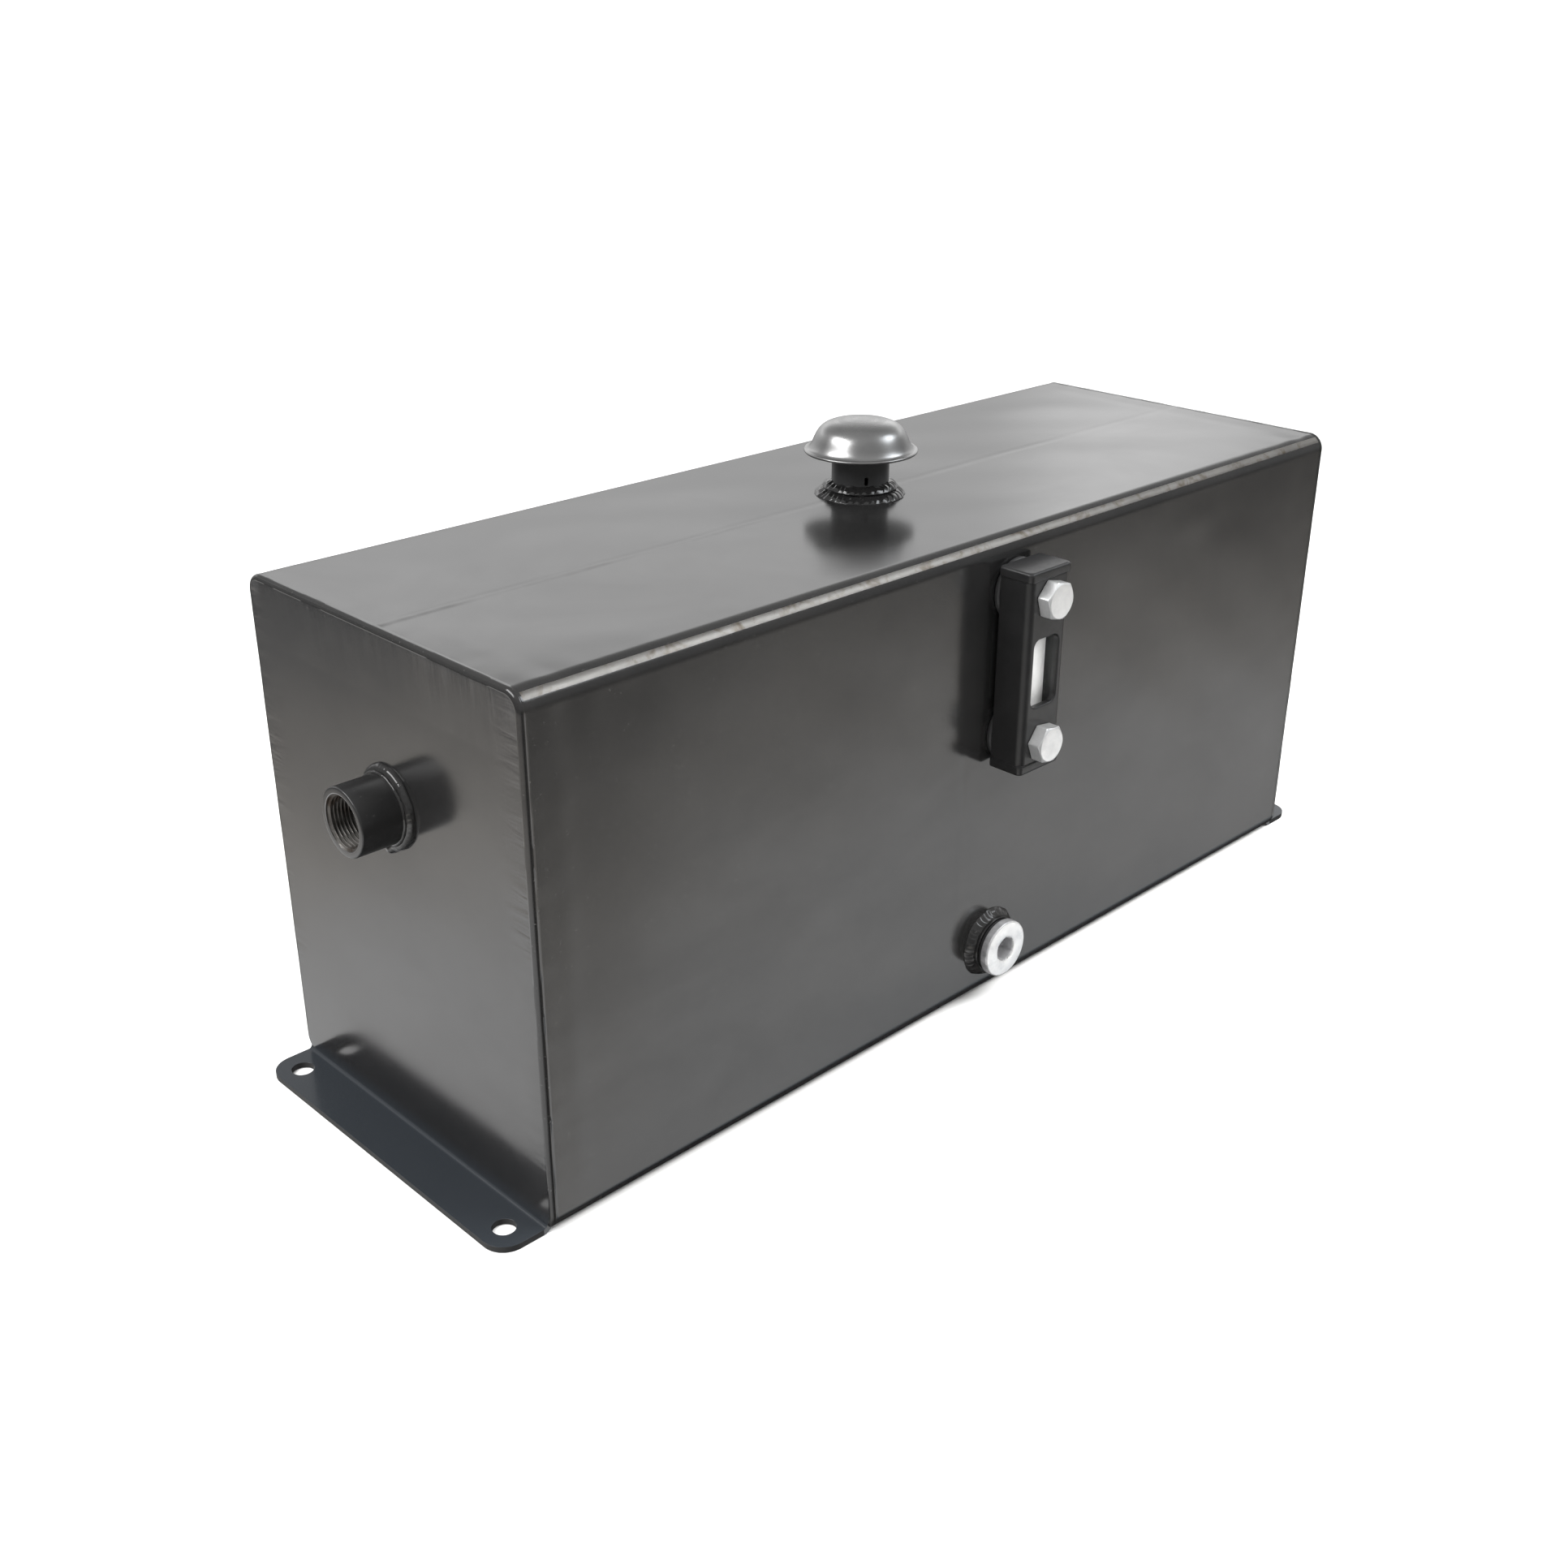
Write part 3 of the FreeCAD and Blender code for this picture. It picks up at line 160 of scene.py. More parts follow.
def paint(name, dark, light, rough, peel=0.35, grain=0.0, specks=0.5, marks_and_foot_sheen=False):
    """Semi-gloss black paint: cloudy tone, orange peel and a little dust. For the end plates it adds
    the brush and heat marks along their welded edges, and a painted reflection: a paler bluish grey low down, over the
    foot."""
    mat, tree, shader = new_material(name)
    vec = coordinates(tree)
    cloud = noise_value(tree, vec, 5.5, 5.0, 0.6)
    fine = noise_value(tree, vec, 60.0, 4.0, 0.6)
    tone = remap(tree, combine(tree, "ADD", cloud, combine(tree, "MULTIPLY", fine, 0.35)), 0.5, 0.85, 0.0, 1.0)
    colour = blend_colour(tree, tone, dark, light)
    dust = remap(tree, noise_value(tree, vec, 620.0, 2.0, 0.4), 0.705, 0.76, 0.0, specks)
    colour = blend_colour(tree, dust, colour, (0.16, 0.155, 0.15))
    tree.links.new(colour, shader.inputs["Base Color"])
    smear = noise_value(tree, coordinates(tree, (1.0, 1.0, 2.6)), 9.0, 5.0, 0.62, 0.6)
    tree.links.new(remap(tree, smear, 0.3, 0.72, rough[0], rough[1]), shader.inputs["Roughness"])
    normal = bump(tree, noise_value(tree, vec, 420.0, 2.0, 0.4), peel, 0.00003)
    if marks_and_foot_sheen:
        part = tree.nodes.new("ShaderNodeSeparateXYZ")
        tree.links.new(vec, part.inputs[0])
        upper = noise_value(tree, coordinates(tree, (1.0, 9.0, 1.2)), 17.0, 3.0, 0.6, 0.5)
        flank = noise_value(tree, coordinates(tree, (1.0, 1.3, 8.0)), 17.0, 3.0, 0.6, 0.5)
        patchy = remap(tree, noise_value(tree, vec, 14.0, 2.0, 0.5), 0.38, 0.60, 0.25, 1.0)
        edge = combine(tree, "MULTIPLY", patchy,
                       remap(tree, combine(tree, "ABSOLUTE", part.outputs[1], 0.0), 0.084, 0.102, 0.0, 0.85))
        top = combine(tree, "MULTIPLY", patchy, remap(tree, part.outputs[2], 0.228, 0.256, 0.0, 1.25))
        fade = remap(tree, part.outputs[2], 0.020, 0.060, 0.0, 1.0)
        marks = combine(tree, "ADD", combine(tree, "MULTIPLY", upper, top),
                        combine(tree, "MULTIPLY", combine(tree, "MULTIPLY", flank, edge), fade))
        normal = bump(tree, marks, 0.75, 0.0006, normal)
        colour = blend_colour(tree, remap(tree, marks, 0.50, 0.95, 0.0, 0.60), colour, (0.034, 0.034, 0.035))
        # painted reflection: below 12 mm, fully below 4.5 mm, the colour blends to a paler bluish grey, the foot's
        # sheen painted in
        low = remap(tree, part.outputs[2], 0.0045, 0.012, 0.85, 0.0)
        colour = blend_colour(tree, low, colour, (0.021, 0.025, 0.030))
        tree.links.new(colour, shader.inputs["Base Color"])
    if grain:
        normal = bump(tree, noise_value(tree, vec, 1500.0, 3.0, 0.6), grain, 0.00004, normal)
    tree.links.new(normal, shader.inputs["Normal"])
    shader.inputs["IOR"].default_value = 1.65
    return mat


def metal(name, base, tint, rough, scale=140.0, streak=None, depth=0.25, stain=None, metallic=1.0):
    """Plated or bare metal: mottled tone and roughness, with fine tool marks."""
    mat, tree, shader = new_material(name)
    vec = coordinates(tree)
    blotch = noise_value(tree, vec, scale, 5.0, 0.62)
    colour = blend_colour(tree, remap(tree, blotch, 0.32, 0.7, 0.0, 1.0), base, tint)
    if stain is not None:
        patch = remap(tree, noise_value(tree, vec, 95.0, 4.0, 0.65, 0.4), 0.5, 0.68, 0.0, 0.85)
        colour = blend_colour(tree, patch, colour, stain)
    tree.links.new(colour, shader.inputs["Base Color"])
    shader.inputs["Metallic"].default_value = metallic
    fine = noise_value(tree, vec, scale * 7, 3.0, 0.55)
    both = combine(tree, "ADD", combine(tree, "MULTIPLY", blotch, 0.65), combine(tree, "MULTIPLY", fine, 0.35))
    tree.links.new(remap(tree, both, 0.34, 0.66, rough[0], rough[1]), shader.inputs["Roughness"])
    marks = noise_value(tree, coordinates(tree, streak) if streak else vec, 900.0, 3.0, 0.6)
    tree.links.new(bump(tree, marks, depth, 0.00003), shader.inputs["Normal"])
    return mat


def turned_metal(name, base, tint, rough, centre, depth=0.12):
    """Spun and plated metal: the marks run in rings about a vertical axis."""
    mat, tree, shader = new_material(name)
    vec = coordinates(tree)
    part = tree.nodes.new("ShaderNodeSeparateXYZ")
    tree.links.new(vec, part.inputs[0])
    dx = combine(tree, "SUBTRACT", part.outputs[0], centre[0] * MM)
    dy = combine(tree, "SUBTRACT", part.outputs[1], centre[1] * MM)
    radius = combine(tree, "SQRT", combine(tree, "ADD", combine(tree, "MULTIPLY", dx, dx),
                                           combine(tree, "MULTIPLY", dy, dy)), 0.0)
    across = combine(tree, "ADD", radius, combine(tree, "MULTIPLY", part.outputs[2], 0.7))
    ring = noise_value(tree, across, 2600.0, 3.0, 0.65, dims="1D")
    broad = noise_value(tree, across, 330.0, 2.0, 0.5, dims="1D")
    blotch = noise_value(tree, vec, 75.0, 4.0, 0.6)
    tree.links.new(blend_colour(tree, remap(tree, blotch, 0.35, 0.7, 0.0, 1.0), base, tint), shader.inputs["Base Color"])
    mixed = combine(tree, "ADD", combine(tree, "MULTIPLY", broad, 0.5), combine(tree, "MULTIPLY", blotch, 0.5))
    tree.links.new(remap(tree, mixed, 0.35, 0.65, rough[0], rough[1]), shader.inputs["Roughness"])
    shader.inputs["Metallic"].default_value = 1.0
    tree.links.new(bump(tree, ring, depth, 0.00002), shader.inputs["Normal"])
    return mat


def moulded(name, dark, light, rough, grain=0.15, scale=900.0, ior=1.5, metallic=0.0):
    """Plastic, rubber or foam: a slight tone change with a fine surface grain."""
    mat, tree, shader = new_material(name)
    vec = coordinates(tree)
    cloud = noise_value(tree, vec, 70.0, 4.0, 0.6)
    tree.links.new(blend_colour(tree, remap(tree, cloud, 0.35, 0.68, 0.0, 1.0), dark, light), shader.inputs["Base Color"])
    fine = noise_value(tree, vec, 260.0, 4.0, 0.6)
    tree.links.new(remap(tree, fine, 0.34, 0.68, rough[0], rough[1]), shader.inputs["Roughness"])
    tree.links.new(bump(tree, noise_value(tree, vec, scale, 3.0, 0.6), grain, 0.00004), shader.inputs["Normal"])
    shader.inputs["IOR"].default_value = ior
    return mat


M_TANK = paint("tank_paint", (0.0085, 0.0085, 0.0086), (0.0145, 0.0141, 0.0137), (0.15, 0.21), peel=0.14, specks=0.10)
# end plates: edge marks, and the painted bluish reflection over the foot
M_END = paint("end_paint", (0.0088, 0.0088, 0.0092), (0.0150, 0.0147, 0.0145), (0.15, 0.22), peel=0.14, specks=0.12, marks_and_foot_sheen=True)
M_WELD = paint("weld_paint", (0.0080, 0.0080, 0.0082), (0.0140, 0.0136, 0.0132), (0.07, 0.15), peel=0.35, grain=0.12, specks=0.2)
M_SOCKET = paint("socket_paint", (0.0070, 0.0070, 0.0074), (0.0120, 0.0118, 0.0117), (0.26, 0.34), peel=0.2, grain=0.08, specks=0.12)
M_NECK = paint("neck_paint", (0.0250, 0.0254, 0.0262), (0.0370, 0.0370, 0.0372), (0.30, 0.40), peel=0.2, grain=0.08, specks=0.12)
M_BOSS = paint("boss_paint", (0.0060, 0.0060, 0.0062), (0.0100, 0.0098, 0.0096), (0.12, 0.20), peel=0.2, specks=0.10)
# the foot's rim: much rougher, and a little darker as painted shade from the floor close under it
M_EDGE = paint("edge_paint", (0.0070, 0.0074, 0.0080), (0.0110, 0.0114, 0.0120), (0.55, 0.68), peel=0.2, specks=0.0)
# painted shade: the threads in the bores are a darker copy of the bare steel used at the mouth ring; the brown patches
# are stains
M_BORE_SHADED = metal("bare_steel_shaded", (0.175, 0.165, 0.155), (0.26, 0.25, 0.235), (0.46, 0.60), 220.0, depth=0.35, stain=(0.075, 0.055, 0.042))
M_RIM = metal("mouth_steel", (0.30, 0.30, 0.305), (0.40, 0.40, 0.405), (0.34, 0.46), 260.0, depth=0.35)
M_INSIDE = metal("inside_steel", (0.26, 0.25, 0.235), (0.36, 0.345, 0.325), (0.34, 0.52), 45.0, depth=0.3, stain=(0.15, 0.12, 0.09))
M_CAP = turned_metal("breather_plate", (0.42, 0.42, 0.417), (0.36, 0.36, 0.36), (0.26, 0.33), (NECK[0], 0.0))
M_BREATHER = metal("breather_steel", (0.56, 0.56, 0.545), (0.46, 0.46, 0.45), (0.24, 0.38), 160.0)
M_ZINC = metal("zinc_bolt", (0.88, 0.885, 0.88), (0.78, 0.785, 0.79), (0.28, 0.40), 190.0, depth=0.3, metallic=0.82)
M_PLUG = metal("zinc_plug", (0.93, 0.935, 0.93), (0.84, 0.845, 0.85), (0.26, 0.40), 120.0, depth=0.3, stain=(0.72, 0.73, 0.74), metallic=0.78)
# painted shade: the plug's socket, collar side and thread take a darker copy of the zinc on its face; the dark patches
# are stains
M_PLUG_SIDE_SHADED = metal("zinc_plug_side_shaded", (0.62, 0.62, 0.63), (0.46, 0.46, 0.47), (0.28, 0.40), 300.0, depth=0.4, stain=(0.28, 0.28, 0.285), metallic=0.70)
M_RUBBER = moulded("seal_rubber", (0.014, 0.014, 0.0145), (0.024, 0.024, 0.0245), (0.42, 0.58), 0.3, 700.0)
M_GASKET = moulded("gasket_rubber", (0.014, 0.014, 0.0145), (0.022, 0.022, 0.0225), (0.5, 0.65), 0.3, 700.0)
M_FOAM = moulded("filter_foam", (0.02, 0.02, 0.021), (0.055, 0.055, 0.056), (0.85, 0.95), 1.0, 1300.0)
M_GAUGE = moulded("gauge_black", (0.0080, 0.0080, 0.0083), (0.0115, 0.0115, 0.0118), (0.31, 0.38), 0.02, 260.0, ior=1.6)
M_WHITE = moulded("reflector_white", (0.62, 0.62, 0.61), (0.74, 0.74, 0.73), (0.42, 0.52), 0.08, 500.0)
M_STRAINER = metal("strainer_steel", (0.60, 0.61, 0.61), (0.46, 0.47, 0.48), (0.30, 0.46), 60.0, depth=0.3)
M_CLEAR = moulded("sight_clear", (0.10, 0.105, 0.10), (0.14, 0.145, 0.14), (0.02, 0.05), 0.03, 300.0)
clear_shader = next(n for n in M_CLEAR.node_tree.nodes if n.type == "BSDF_PRINCIPLED")
clear_shader.inputs["Alpha"].default_value = 0.05
clear_shader.inputs["IOR"].default_value = 1.49
clear_shader.inputs["Specular IOR Level"].default_value = 0.22


def woven(name):
    """Woven stainless gauze: two crossed sets of wires, drawn as bump, with painted shade: the gaps between wires are
    drawn dark, for the shade seen through the openings.
    """
    mat, tree, shader = new_material(name)
    vec = coordinates(tree)
    part = tree.nodes.new("ShaderNodeSeparateXYZ")
    tree.links.new(vec, part.inputs[0])
    dz = combine(tree, "SUBTRACT", part.outputs[2], SUCTION[2] * MM)
    angle = combine(tree, "ARCTAN2", part.outputs[1], dz)
    warp = combine(tree, "ABSOLUTE", combine(tree, "SINE", combine(tree, "MULTIPLY", part.outputs[0], 3400.0), 0.0), 0.0)
    weft = combine(tree, "ABSOLUTE", combine(tree, "SINE", combine(tree, "MULTIPLY", angle, 60.0), 0.0), 0.0)
    wire = combine(tree, "MAXIMUM", warp, weft)
    # painted shade: dark between the wires, pale on them
    tree.links.new(blend_colour(tree, remap(tree, wire, 0.45, 0.85, 0.0, 1.0), (0.05, 0.05, 0.05), (0.55, 0.55, 0.54)),
                   shader.inputs["Base Color"])
    tree.links.new(remap(tree, noise_value(tree, vec, 200.0, 3.0, 0.5), 0.3, 0.7, 0.28, 0.42), shader.inputs["Roughness"])
    shader.inputs["Metallic"].default_value = 1.0
    tree.links.new(bump(tree, wire, 0.9, 0.0003), shader.inputs["Normal"])
    return mat


M_GAUZE = woven("strainer_gauze")


# ---------------------------------------------------------------- mesh tools

def ring_noise(theta, seed, ks=(2, 3, 5, 7, 11)):
    """Smooth wobble round a ring, about -1 to 1, the same on every run."""
    rng = np.random.RandomState(seed)
    total = 0
    for k in ks:
        total = total + rng.uniform(0.5, 1.0) * np.cos(k * theta + rng.uniform(0, TAU))
    return total / (0.8 * len(ks) ** 0.5 * 1.6)


def line_noise(x, seed, waves):
    """Smooth wobble along a line: waves are wavelengths in millimetres."""
    rng = np.random.RandomState(seed)
    total = 0
    for w in waves:
        total = total + rng.uniform(0.6, 1.0) * np.sin(TAU * x / (w * rng.uniform(0.85, 1.15)) + rng.uniform(0, TAU))
    return total / max(1, len(waves)) ** 0.5


def put(co, origin, way):
    x, y, z = np.asarray(co, float).T
    turned = {"up": (x, y, z), "front": (x, -z, y), "left": (-z, y, x), "right": (z, y, -x)}[way]
    return np.stack(turned, 1) + np.array(origin, float)


def make(name, co, faces, mats, body, replaces=(), mat_index=None, sharp=32.0, fix=True, weighted=False):
    """A mesh piece from points in millimetres in the row frame."""
    mesh = bpy.data.meshes.new(name)
    mesh.from_pydata((np.asarray(co, float) * MM).tolist(), [], faces)
    for mat in mats:
        mesh.materials.append(mat)
    if mat_index is not None:
        mesh.polygons.foreach_set("material_index", list(mat_index))
    if fix:
        bm = bmesh.new()
        bm.from_mesh(mesh)
        bmesh.ops.recalc_face_normals(bm, faces=bm.faces)
        bm.to_mesh(mesh)
        bm.free()
    finish_mesh(mesh, sharp)
    piece = bpy.data.objects.new(name, mesh)
    scene.collection.objects.link(piece)
    if weighted:
        weigh(piece)
    if body:
        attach(piece, body)
        if replaces:
            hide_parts(*replaces)
    return piece


def finish_mesh(mesh, sharp):
    mesh.polygons.foreach_set("use_smooth", [True] * len(mesh.polygons))
    if sharp:
        mesh.set_sharp_from_angle(angle=math.radians(sharp))
    mesh.update()


def weigh(piece):
    mod = piece.modifiers.new("even_normals", "WEIGHTED_NORMAL")
    mod.mode = "FACE_AREA"
    mod.weight = 80
    mod.keep_sharp = True


def polar_mesh(rings, theta, closed=False, ring_mats=None):
    """Points and faces of a body of rings about local Z. A ring is (r, z), each a
    number or one value per angle; a ring with r = 0 is a pole."""
    n = len(theta)
    co, starts, faces, mats = [], [], [], []
    cos, sin = np.cos(theta), np.sin(theta)
    for r, z in rings:
        starts.append(len(co))
        if np.isscalar(r) and r == 0:
            co.append((0.0, 0.0, float(np.mean(z))))
            continue
        rr = np.broadcast_to(np.asarray(r, float), (n,))
        zz = np.broadcast_to(np.asarray(z, float), (n,))
        co.extend(zip(rr * cos, rr * sin, zz))
    starts.append(len(co))
    count = len(rings)
    pairs = [(i, i + 1) for i in range(count - 1)] + ([(count - 1, 0)] if closed else [])
    for k, (a, b) in enumerate(pairs):
        sa, sb = starts[a], starts[b]
        na, nb = starts[a + 1] - sa, starts[b + 1] - sb
        m = ring_mats[k] if ring_mats else 0
        for j in range(n):
            j2 = (j + 1) % n
            if na == 1 and nb == 1:
                continue
            if na == 1:
                faces.append((sa, sb + j, sb + j2))
            elif nb == 1:
                faces.append((sa + j, sb, sa + j2))
            else:
                faces.append((sa + j, sb + j, sb + j2, sa + j2))
            mats.append(m)
    return np.array(co), faces, mats


def round_poly(points, steps=4, closed=True):
    """(x, y, radius) corners to a chain of points with those corners rounded."""
    out = []
    n = len(points)
    for i, (x, y, r) in enumerate(points):
        p = np.array((x, y), float)
        if r <= 0 or (not closed and i in (0, n - 1)):
            out.append(tuple(p))
            continue
        a = np.array(points[i - 1][:2], float) - p
        b = np.array(points[(i + 1) % n][:2], float) - p
        la, lb = np.linalg.norm(a), np.linalg.norm(b)
        a, b = a / la, b / lb
        angle = math.acos(max(-1.0, min(1.0, float(a @ b))))
        if angle > math.pi - 1e-3:
            out.append(tuple(p))
            continue
        d = min(r / math.tan(angle / 2), 0.49 * la, 0.49 * lb)
        rr = d * math.tan(angle / 2)
        centre = p + (a + b) / np.linalg.norm(a + b) * (rr / math.sin(angle / 2))
        v0, v1 = p + a * d - centre, p + b * d - centre
        t0, t1 = math.atan2(v0[1], v0[0]), math.atan2(v1[1], v1[0])
        while t1 - t0 > math.pi:
            t1 -= TAU
        while t1 - t0 < -math.pi:
            t1 += TAU
        for k in range(steps + 1):
            t = t0 + (t1 - t0) * k / steps
            out.append((centre[0] + rr * math.cos(t), centre[1] + rr * math.sin(t)))
    return out


def circle_angles(n):
    return np.arange(n) * TAU / n


def lathe(name, profile, origin, way, mats, body, replaces=(), seg=128, closed=True, sharp=32.0, ring_mats=None,
          warp=None, weighted=False):
    """Turned piece from a rounded half section [(r, z, corner radius), ...]."""
    chain = round_poly(profile, closed=closed)
    theta = circle_angles(seg)
    rings = []
    for r, z in chain:
        if r < 1e-6:
            rings.append((0, z))
        elif warp:
            rings.append(warp(theta, r, z))
        else:
            rings.append((r, z))
    kinds = [ring_mats(chain[i], chain[(i + 1) % len(chain)]) for i in range(len(chain))] if ring_mats else None
    co, faces, index = polar_mesh(rings, theta, closed, kinds)
    return make(name, put(co, origin, way), faces, mats, body, replaces, index, sharp, weighted=weighted)


def thread_shape(theta, z, low, high, z_from, z_to, fade=(1.0, 1.0)):
    """Radius of a right-hand pipe thread at height z: low at the root of the male
    form (and at the crest of the female one), high one thread depth further out."""
    phase = (z / PITCH - theta / TAU) % 1.0
    tri = 1.0 - np.abs(2.0 * phase - 1.0)
    tri = np.clip((tri - 0.10) / 0.80, 0.0, 1.0)
    tri = tri * 0.6 + 0.4 * (tri * tri * (3 - 2 * tri))
    grow = 1.0
    if fade[0]:
        grow = grow * np.clip((z - z_from) / (PITCH * fade[0]), 0, 1)
    if fade[1]:
        grow = grow * np.clip((z_to - z) / (PITCH * fade[1]), 0, 1)
    return low + (high - low) * tri * grow


def subtract(piece, cutters, sharp=32.0):
    """Take the cutters out of a piece's mesh, then drop them. Done before it rides."""
    for cutter in cutters:
        mod = piece.modifiers.new("cut", "BOOLEAN")
        mod.operation = "DIFFERENCE"
        mod.solver = "EXACT"
        mod.object = cutter
    bpy.context.view_layer.update()
    shaped = bpy.data.meshes.new_from_object(piece.evaluated_get(bpy.context.evaluated_depsgraph_get()))
    piece.modifiers.clear()
    old = piece.data
    piece.data = shaped
    bpy.data.meshes.remove(old)
    for cutter in cutters:
        mesh = cutter.data
        bpy.data.objects.remove(cutter)
        bpy.data.meshes.remove(mesh)
    finish_mesh(piece.data, sharp)
    return piece


def adopt(piece, body, replaces):
    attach(piece, body)
    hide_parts(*replaces)
    return piece


def cutter_round(radius, length, origin, way, flare=0.0, seg=96):
    """A round cutter from z = 0 to length, its two mouths flared to round the hole's edges."""
    if flare:
        rings = [(0, -2.0), (radius + flare, -2.0), (radius + flare, 0.0)]
        for k in range(1, 6):
            t = math.pi / 2 * k / 5
            rings.append((radius + flare * (1 - math.sin(t)), flare * (1 - math.cos(t))))
        for k in range(0, 6):
            t = math.pi / 2 * k / 5
            rings.append((radius + flare * (1 - math.cos(t)), length - flare * (1 - math.sin(t))))
        rings += [(radius + flare, length + 2.0), (0, length + 2.0)]
    else:
        rings = [(0, -2.0), (radius, -2.0), (radius, length + 2.0), (0, length + 2.0)]
    co, faces, index = polar_mesh(rings, circle_angles(seg))
    return make("cutter", put(co, origin, way), faces, [], None, sharp=None)


# ---------------------------------------------------------------- tank shell

WRAP_T, BEND = 3.0, 9.0


def calm(x, y, z):
    """0 next to the fittings, where the sheet is held flat, to 1 far from them."""
    keep = np.ones_like(x)
    for cx, cy, cz, reach in ((NECK[0], 0, ZT, 34.0), (DRAIN[0], -HY, DRAIN[2], 28.0),
                              (GX, -HY, BOLTS["upper"], 24.0), (GX, -HY, BOLTS["lower"], 24.0)):
        d2 = (x - cx) ** 2 + (y - cy) ** 2 + (z - cz) ** 2
        keep = keep * (1 - np.exp(-d2 / reach ** 2) ** 1)
    return keep


def shell_push(x, y, z, face):
    """How far the sheet stands out of true, outward, in millimetres."""
    end = HX - np.abs(x)
    edge = np.clip(end / 60.0, 0, 1)
    edge = edge * edge * (3 - 2 * edge)
    if face in ("front", "back"):
        across = np.clip(np.minimum(z - ZB - BEND, ZT - BEND - z) / 45.0, 0, 1)
    else:
        across = np.clip((HY - BEND - np.abs(y)) / 40.0, 0, 1)
    across = across * across * (3 - 2 * across)
    seed = {"front": 3, "back": 5, "top": 7, "bottom": 9}[face]
    other = z if face in ("front", "back") else y
    wave = 0.16 * line_noise(x, seed, (210, 135)) + 0.12 * line_noise(x + 1.3 * other, seed + 20, (170, 95)) \
        + 0.08 * line_noise(other, seed + 40, (120,))
    push = wave * edge * across * calm(x, y, z)
    # pulled in a little along the end welds, unevenly
    pull = 0.10 + 0.05 * line_noise(other, seed + 60, (38, 21, 12))
    push = push - pull * np.exp(-np.clip(end, 0, None) / 7.0)
    push = push + 0.05 * np.exp(-((end - 15.0) / 6.0) ** 2) * (1 + 0.5 * line_noise(other, seed + 80, (55, 24)))
    if face in ("front", "back"):
        # the baffle's tacks draw the wall in along a faint upright line
        mask = np.clip((z - 52.0) / 22.0, 0, 1) * np.clip((172.0 - z) / 26.0, 0, 1)
        push = push - 0.075 * mask * np.exp(-((x + 25.0 + 0.012 * (z - 100)) / 2.6) ** 2)
        push = push + 0.022 * mask * np.exp(-((x + 25.0) / 7.5) ** 2)
    if face == "front":
        push = push + 0.13 * np.exp(-(((x - 170) / 26.0) ** 2 + ((z - 234) / 9.0) ** 2))
        push = push - 0.10 * np.exp(-(((x - 196) / 20.0) ** 2 + ((z - 228) / 10.0) ** 2))
    if face == "top":
        push = push + 0.07 * np.exp(-(y / 16.0) ** 2) * edge * (1 + 0.35 * line_noise(x, 11, (88, 41)))
    if face == "back":
        push = push - 0.40 * edge * across            # the back wall bows in, never out
        push = np.minimum(push, 0.0)
    # where the front bend meets an end weld it is drawn in and left wavy
    if face in ("front", "top"):
        near = np.clip(1 - np.abs((z if face == "front" else y) - (ZT - BEND if face == "front" else -(HY - BEND))) / 24.0, 0, 1)
        near = near * near * (3 - 2 * near)
        push = push + near * (0.15 * line_noise(x, 15, (36, 21)) - 0.14) * np.exp(-np.clip(end - 3.0, 0, None) / 34.0)
    return push


def spread(a, b, step):
    n = max(1, int(round(abs(b - a) / step)))
    return list(np.linspace(a, b, n + 1))[:-1]


def wrap_section():
    """Matched outer and inner outlines (y, z, outward normal, face), from one side
    of the top seam round to the other."""
    y1, z0, z1 = HY, ZB, ZT
    half_gap = 1.2
    rows = []

    def flat(a, b, along, fixed, normal, face):
        low, high = min(a, b), max(a, b)
        stops = [a]
        for step, reach in ((1.0, 3.0), (2.2, 8.0)):
            stops.append(a + (reach if b > a else -reach))
        inner = stops[-1]
        back = [b - (8.0 if b > a else -8.0), b - (3.0 if b > a else -3.0), b]
        chain = spread(stops[0], stops[1], 1.0) + spread(stops[1], inner, 2.5) + spread(inner, back[0], 4.2) \
            + spread(back[0], back[1], 2.5) + spread(back[1], b, 1.0)
        for v in chain:
            y, z = (v, fixed) if along == "y" else (fixed, v)
            rows.append((y, z, normal[0], normal[1], face))

    def arc(cy, cz, start):
        for k in range(14):
            t = start - math.pi / 2 * k / 14
            ny, nz = math.cos(t), math.sin(t)
            face = None
            rows.append((cy + BEND * ny, cz + BEND * nz, ny, nz, face))

    flat(half_gap, y1 - BEND, "y", z1, (0, 1), "top")
    arc(y1 - BEND, z1 - BEND, math.pi / 2)
    flat(z1 - BEND, z0 + BEND, "z", y1, (1, 0), "back")
    arc(y1 - BEND, z0 + BEND, 0.0)
    flat(y1 - BEND, -y1 + BEND, "y", z0, (0, -1), "bottom")
    arc(-y1 + BEND, z0 + BEND, -math.pi / 2)
    flat(z0 + BEND, z1 - BEND, "z", -y1, (-1, 0), "front")
    arc(-y1 + BEND, z1 - BEND, math.pi)
    flat(-y1 + BEND, -half_gap, "y", z1, (0, 1), "top")
    rows.append((-half_gap, z1, 0, 1, "top"))
    return rows


def shell_stations():
    xs = []
    xs += spread(-HX, -HX + 6, 0.75) + spread(-HX + 6, -HX + 24, 1.5) + spread(-HX + 24, -40, 4.2)
    xs += spread(-40, -10, 1.2) + spread(-10, HX - 24, 4.2)
    xs += spread(HX - 24, HX - 6, 1.5) + spread(HX - 6, HX, 0.75) + [HX]
    return np.array(xs)


STATIONS = shell_stations()


